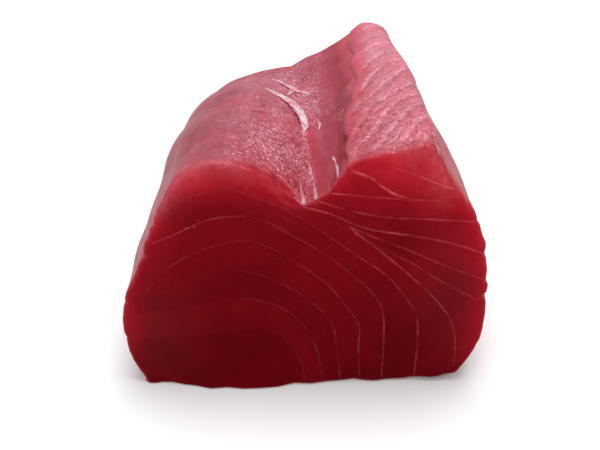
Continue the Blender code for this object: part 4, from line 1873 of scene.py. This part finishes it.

# %% [markdown]
# ## The finer strands
#
# Past the crescent lies a forked strand. Short threads and beads run beside the bare strip and
# along the foot of the ridge, and a few catch the light on the rim of the cut. They are the same
# sheaves with fewer fibres, and how plain each one is is set one by one, because some are milky
# and some almost clear.

# %% Lay the strands
# How plain each strand is, then its stops as (across, depth, width).
STRANDS = {
    "long_fork": (0.72, [(-13.2, 106.5, 0.8), (-10.2, 102.4, 1.7), (-7.5, 99.0, 1.9),
                         (-4.5, 94.8, 2.5), (-2.2, 92.8, 1.9), (0.4, 91.4, 1.2), (1.8, 88.0, 0.6)]),
    "short_fork": (0.66, [(-4.4, 95.6, 2.0), (-5.3, 91.0, 1.7), (-6.6, 86.0, 0.7)]),
    "slope_line": (0.40, [(0.8, 90.4, 0.6), (1.8, 86.0, 0.7), (3.0, 79.0, 0.5), (4.4, 71.0, 0.7),
                          (5.0, 64.0, 0.4)]),
    "slope_bead": (0.75, [(4.8, 59.4, 0.3), (5.5, 55.5, 0.9), (5.0, 51.0, 0.4)]),
    "ridge_bead": (0.70, [(9.2, 26.6, 0.3), (9.3, 24.6, 0.8), (9.8, 22.0, 0.5), (9.9, 20.4, 0.2)]),
    "ridge_strand": (0.72, [(9.8, 20.6, 0.3), (10.0, 16.9, 0.8), (10.1, 11.6, 1.2), (9.9, 5.5, 1.1),
                            (9.8, 2.0, 0.6)]),
    "strip_edge": (0.60, [(3.5, 0.6, 1.2), (3.0, 7.0, 0.9), (2.5, 13.0, 0.4)]),
    "strip_right": (0.24, [(7.5, 0.3, 0.6), (7.3, 4.0, 0.5), (7.1, 9.5, 0.3)]),
    "strip_edge_far": (0.60, [(2.1, 18.0, 0.3), (1.8, 22.0, 0.8), (1.3, 28.0, 0.3)]),
    # A pale strand along the lit lip of the fold, as a painted highlight.
    "fold_edge_highlight": (0.40, [(-0.6, 0.2, 1.7), (-0.8, 3.0, 1.5), (-1.3, 8.0, 1.0), (-2.0, 13.0, 0.4)]),
    "corner_bead": (0.55, [(38.4, 4.4, 0.3), (38.8, 2.6, 0.8), (39.0, 1.0, 0.9), (39.1, 0.2, 0.4)]),
    "flap_edge": (0.45, [(28.9, 16.5, 0.2), (28.6, 12.5, 0.6), (27.6, 9.2, 0.7), (25.9, 7.0, 0.6),
                         (24.0, 6.2, 0.2)]),
}
STRAND_FIBRES = 2
STRAND_THICKNESS = 0.25
strands = []
for seed, (plain, stops) in enumerate(STRANDS.values(), start=70):
    strands += sheaf(stops, seed, STRAND_FIBRES, STRAND_THICKNESS, plain=plain)
grown("sinew_strands", line_mesh("strand_lines", strands), ribbon_tree, Sides=8,
      Thickness_share=STRAND_THICKNESS)

# %% [markdown]
# ## Creases of the film
#
# Across the smooth round of the lobe the film has slipped and gathered into a few faint creases.
# They are so low that only a hint of white shows, so each is one flat ribbon with the same
# material, very little of it plain, on a line that wavers.

# %% Lay the creases
# Stops of each crease as (across, depth, width).
CREASES = [[(-36.3, 58.9, 0.4), (-32.7, 59.6, 1.3), (-28.7, 58.9, 1.2), (-26.1, 57.5, 0.4)],
           [(-20.1, 52.5, 0.4), (-16.3, 54.7, 1.3), (-12.5, 56.3, 0.6)],
           [(-31.3, 37.4, 0.3), (-27.2, 34.8, 1.1), (-21.6, 34.1, 1.0), (-17.0, 35.5, 0.3)]]
creases = []
for k, stops in enumerate(CREASES):
    line = smooth_line(stops, 0.7)
    points, normals = laid(line[:, :2] + 0.5 * wander(line, 2.5, 90 + k)[:, None], "top")
    shows = np.clip(0.16 + 0.45 * wander(points, 2.0, 95 + k), 0.0, 0.4)
    creases.append((points, normals, line[:, 2], shows))
grown("film_creases", line_mesh("crease_lines", creases), ribbon_tree, Sides=8, Thickness_share=0.2)

# %% [markdown]
# ## Crumbs on the cut
#
# The knife picks up bits of membrane and drops them on the face. A handful of short specks, tilted
# every way and scattered over the upper half, says that this was cut by hand. The longer a crumb
# is, the plainer it shows.

# %% Lay the crumbs
# (across, up) of each crumb on the near face, and its length, all in millimetres.
CRUMBS = [(-36.5, 60.6, 1.8), (-34.4, 61.1, 1.4), (-33.0, 63.4, 1.1), (10.2, 60.1, 0.6),
          (15.6, 47.4, 0.7), (-9.6, 50.0, 0.5), (-27.2, 47.0, 0.5), (24.5, 51.4, 0.5)]
# Points along a crumb, and its width at each of them.
CRUMB_STOPS = (-1, -0.4, 0.3, 1)
CRUMB_WIDTHS = np.array((0.1, 0.36, 0.30, 0.08))
CRUMB_LIFT = 0.03
crumbs = []
for k, (across, up, length) in enumerate(CRUMBS):
    tilt = 0.9 * math.sin(5.0 * k)
    half = np.array((math.cos(tilt), math.sin(tilt))) * length / 2
    points, normals = laid([np.array((across, up)) + half * t for t in CRUMB_STOPS], "near")
    widths = CRUMB_WIDTHS * (0.6 + 0.55 * length)
    shows = np.full(len(CRUMB_STOPS), 0.35 + 0.25 * length)
    crumbs.append((points + normals * CRUMB_LIFT, normals, widths, shows))
grown("membrane_crumbs", line_mesh("crumb_lines", crumbs), membrane_tree, Sides=6,
      Thickness_share=0.6)

# %% [markdown]
# ## Ragged tips at the corner
#
# Where the knife leaves the flesh at the bottom it tears the last fibres. On the left corner three
# small tips stick out. They are thick threads that taper quickly, in the red of the flesh, and
# they start inside the body so that they grow out of it.

# %% Grow the tips
# Each tip: where it starts and ends, as (across, depth, up), and its width at the start.
TIPS = [((-52.6, 0.2, 1.9), (-54.6, -0.7, 0.5), 2.4), ((-52.4, 0.9, 3.0), (-54.5, 0.2, 2.1), 1.8),
        ((-51.8, 0.2, 1.2), (-52.9, -1.5, 0.4), 1.8)]
TIP_STOPS = 8
TIP_BEND = 0.25
TIP_DARK, TIP_RED = (0.22, 0.004, 0.010, 1), (0.36, 0.014, 0.024, 1)
TIP = thread_material("ragged_flesh", TIP_DARK, TIP_RED, 0.35, 0.03)
tips = []
for start, end, width in TIPS:
    through = np.linspace(0, 1, TIP_STOPS)
    start, end = np.array(start), np.array(end)
    line = start + (end - start) * through[:, None]
    line = line + TIP_BEND * np.sin(through * math.pi)[:, None] * (0, -0.3, 1)
    widths = width * np.interp(through, (0, 0.5, 0.85, 1), (1.0, 0.72, 0.36, 0.08))
    tips.append((line, np.tile((0, -0.7, 0.7), (TIP_STOPS, 1)), widths, np.full(TIP_STOPS, 0.55)))
grown("ragged_tips", line_mesh("tip_lines", tips), thread_tree("tip_threads", TIP), Sides=10,
      Thickness_share=0.55)

# %% [markdown]
# ## The end
#
# The looks may stand a little proud of the plain block, but not by much.
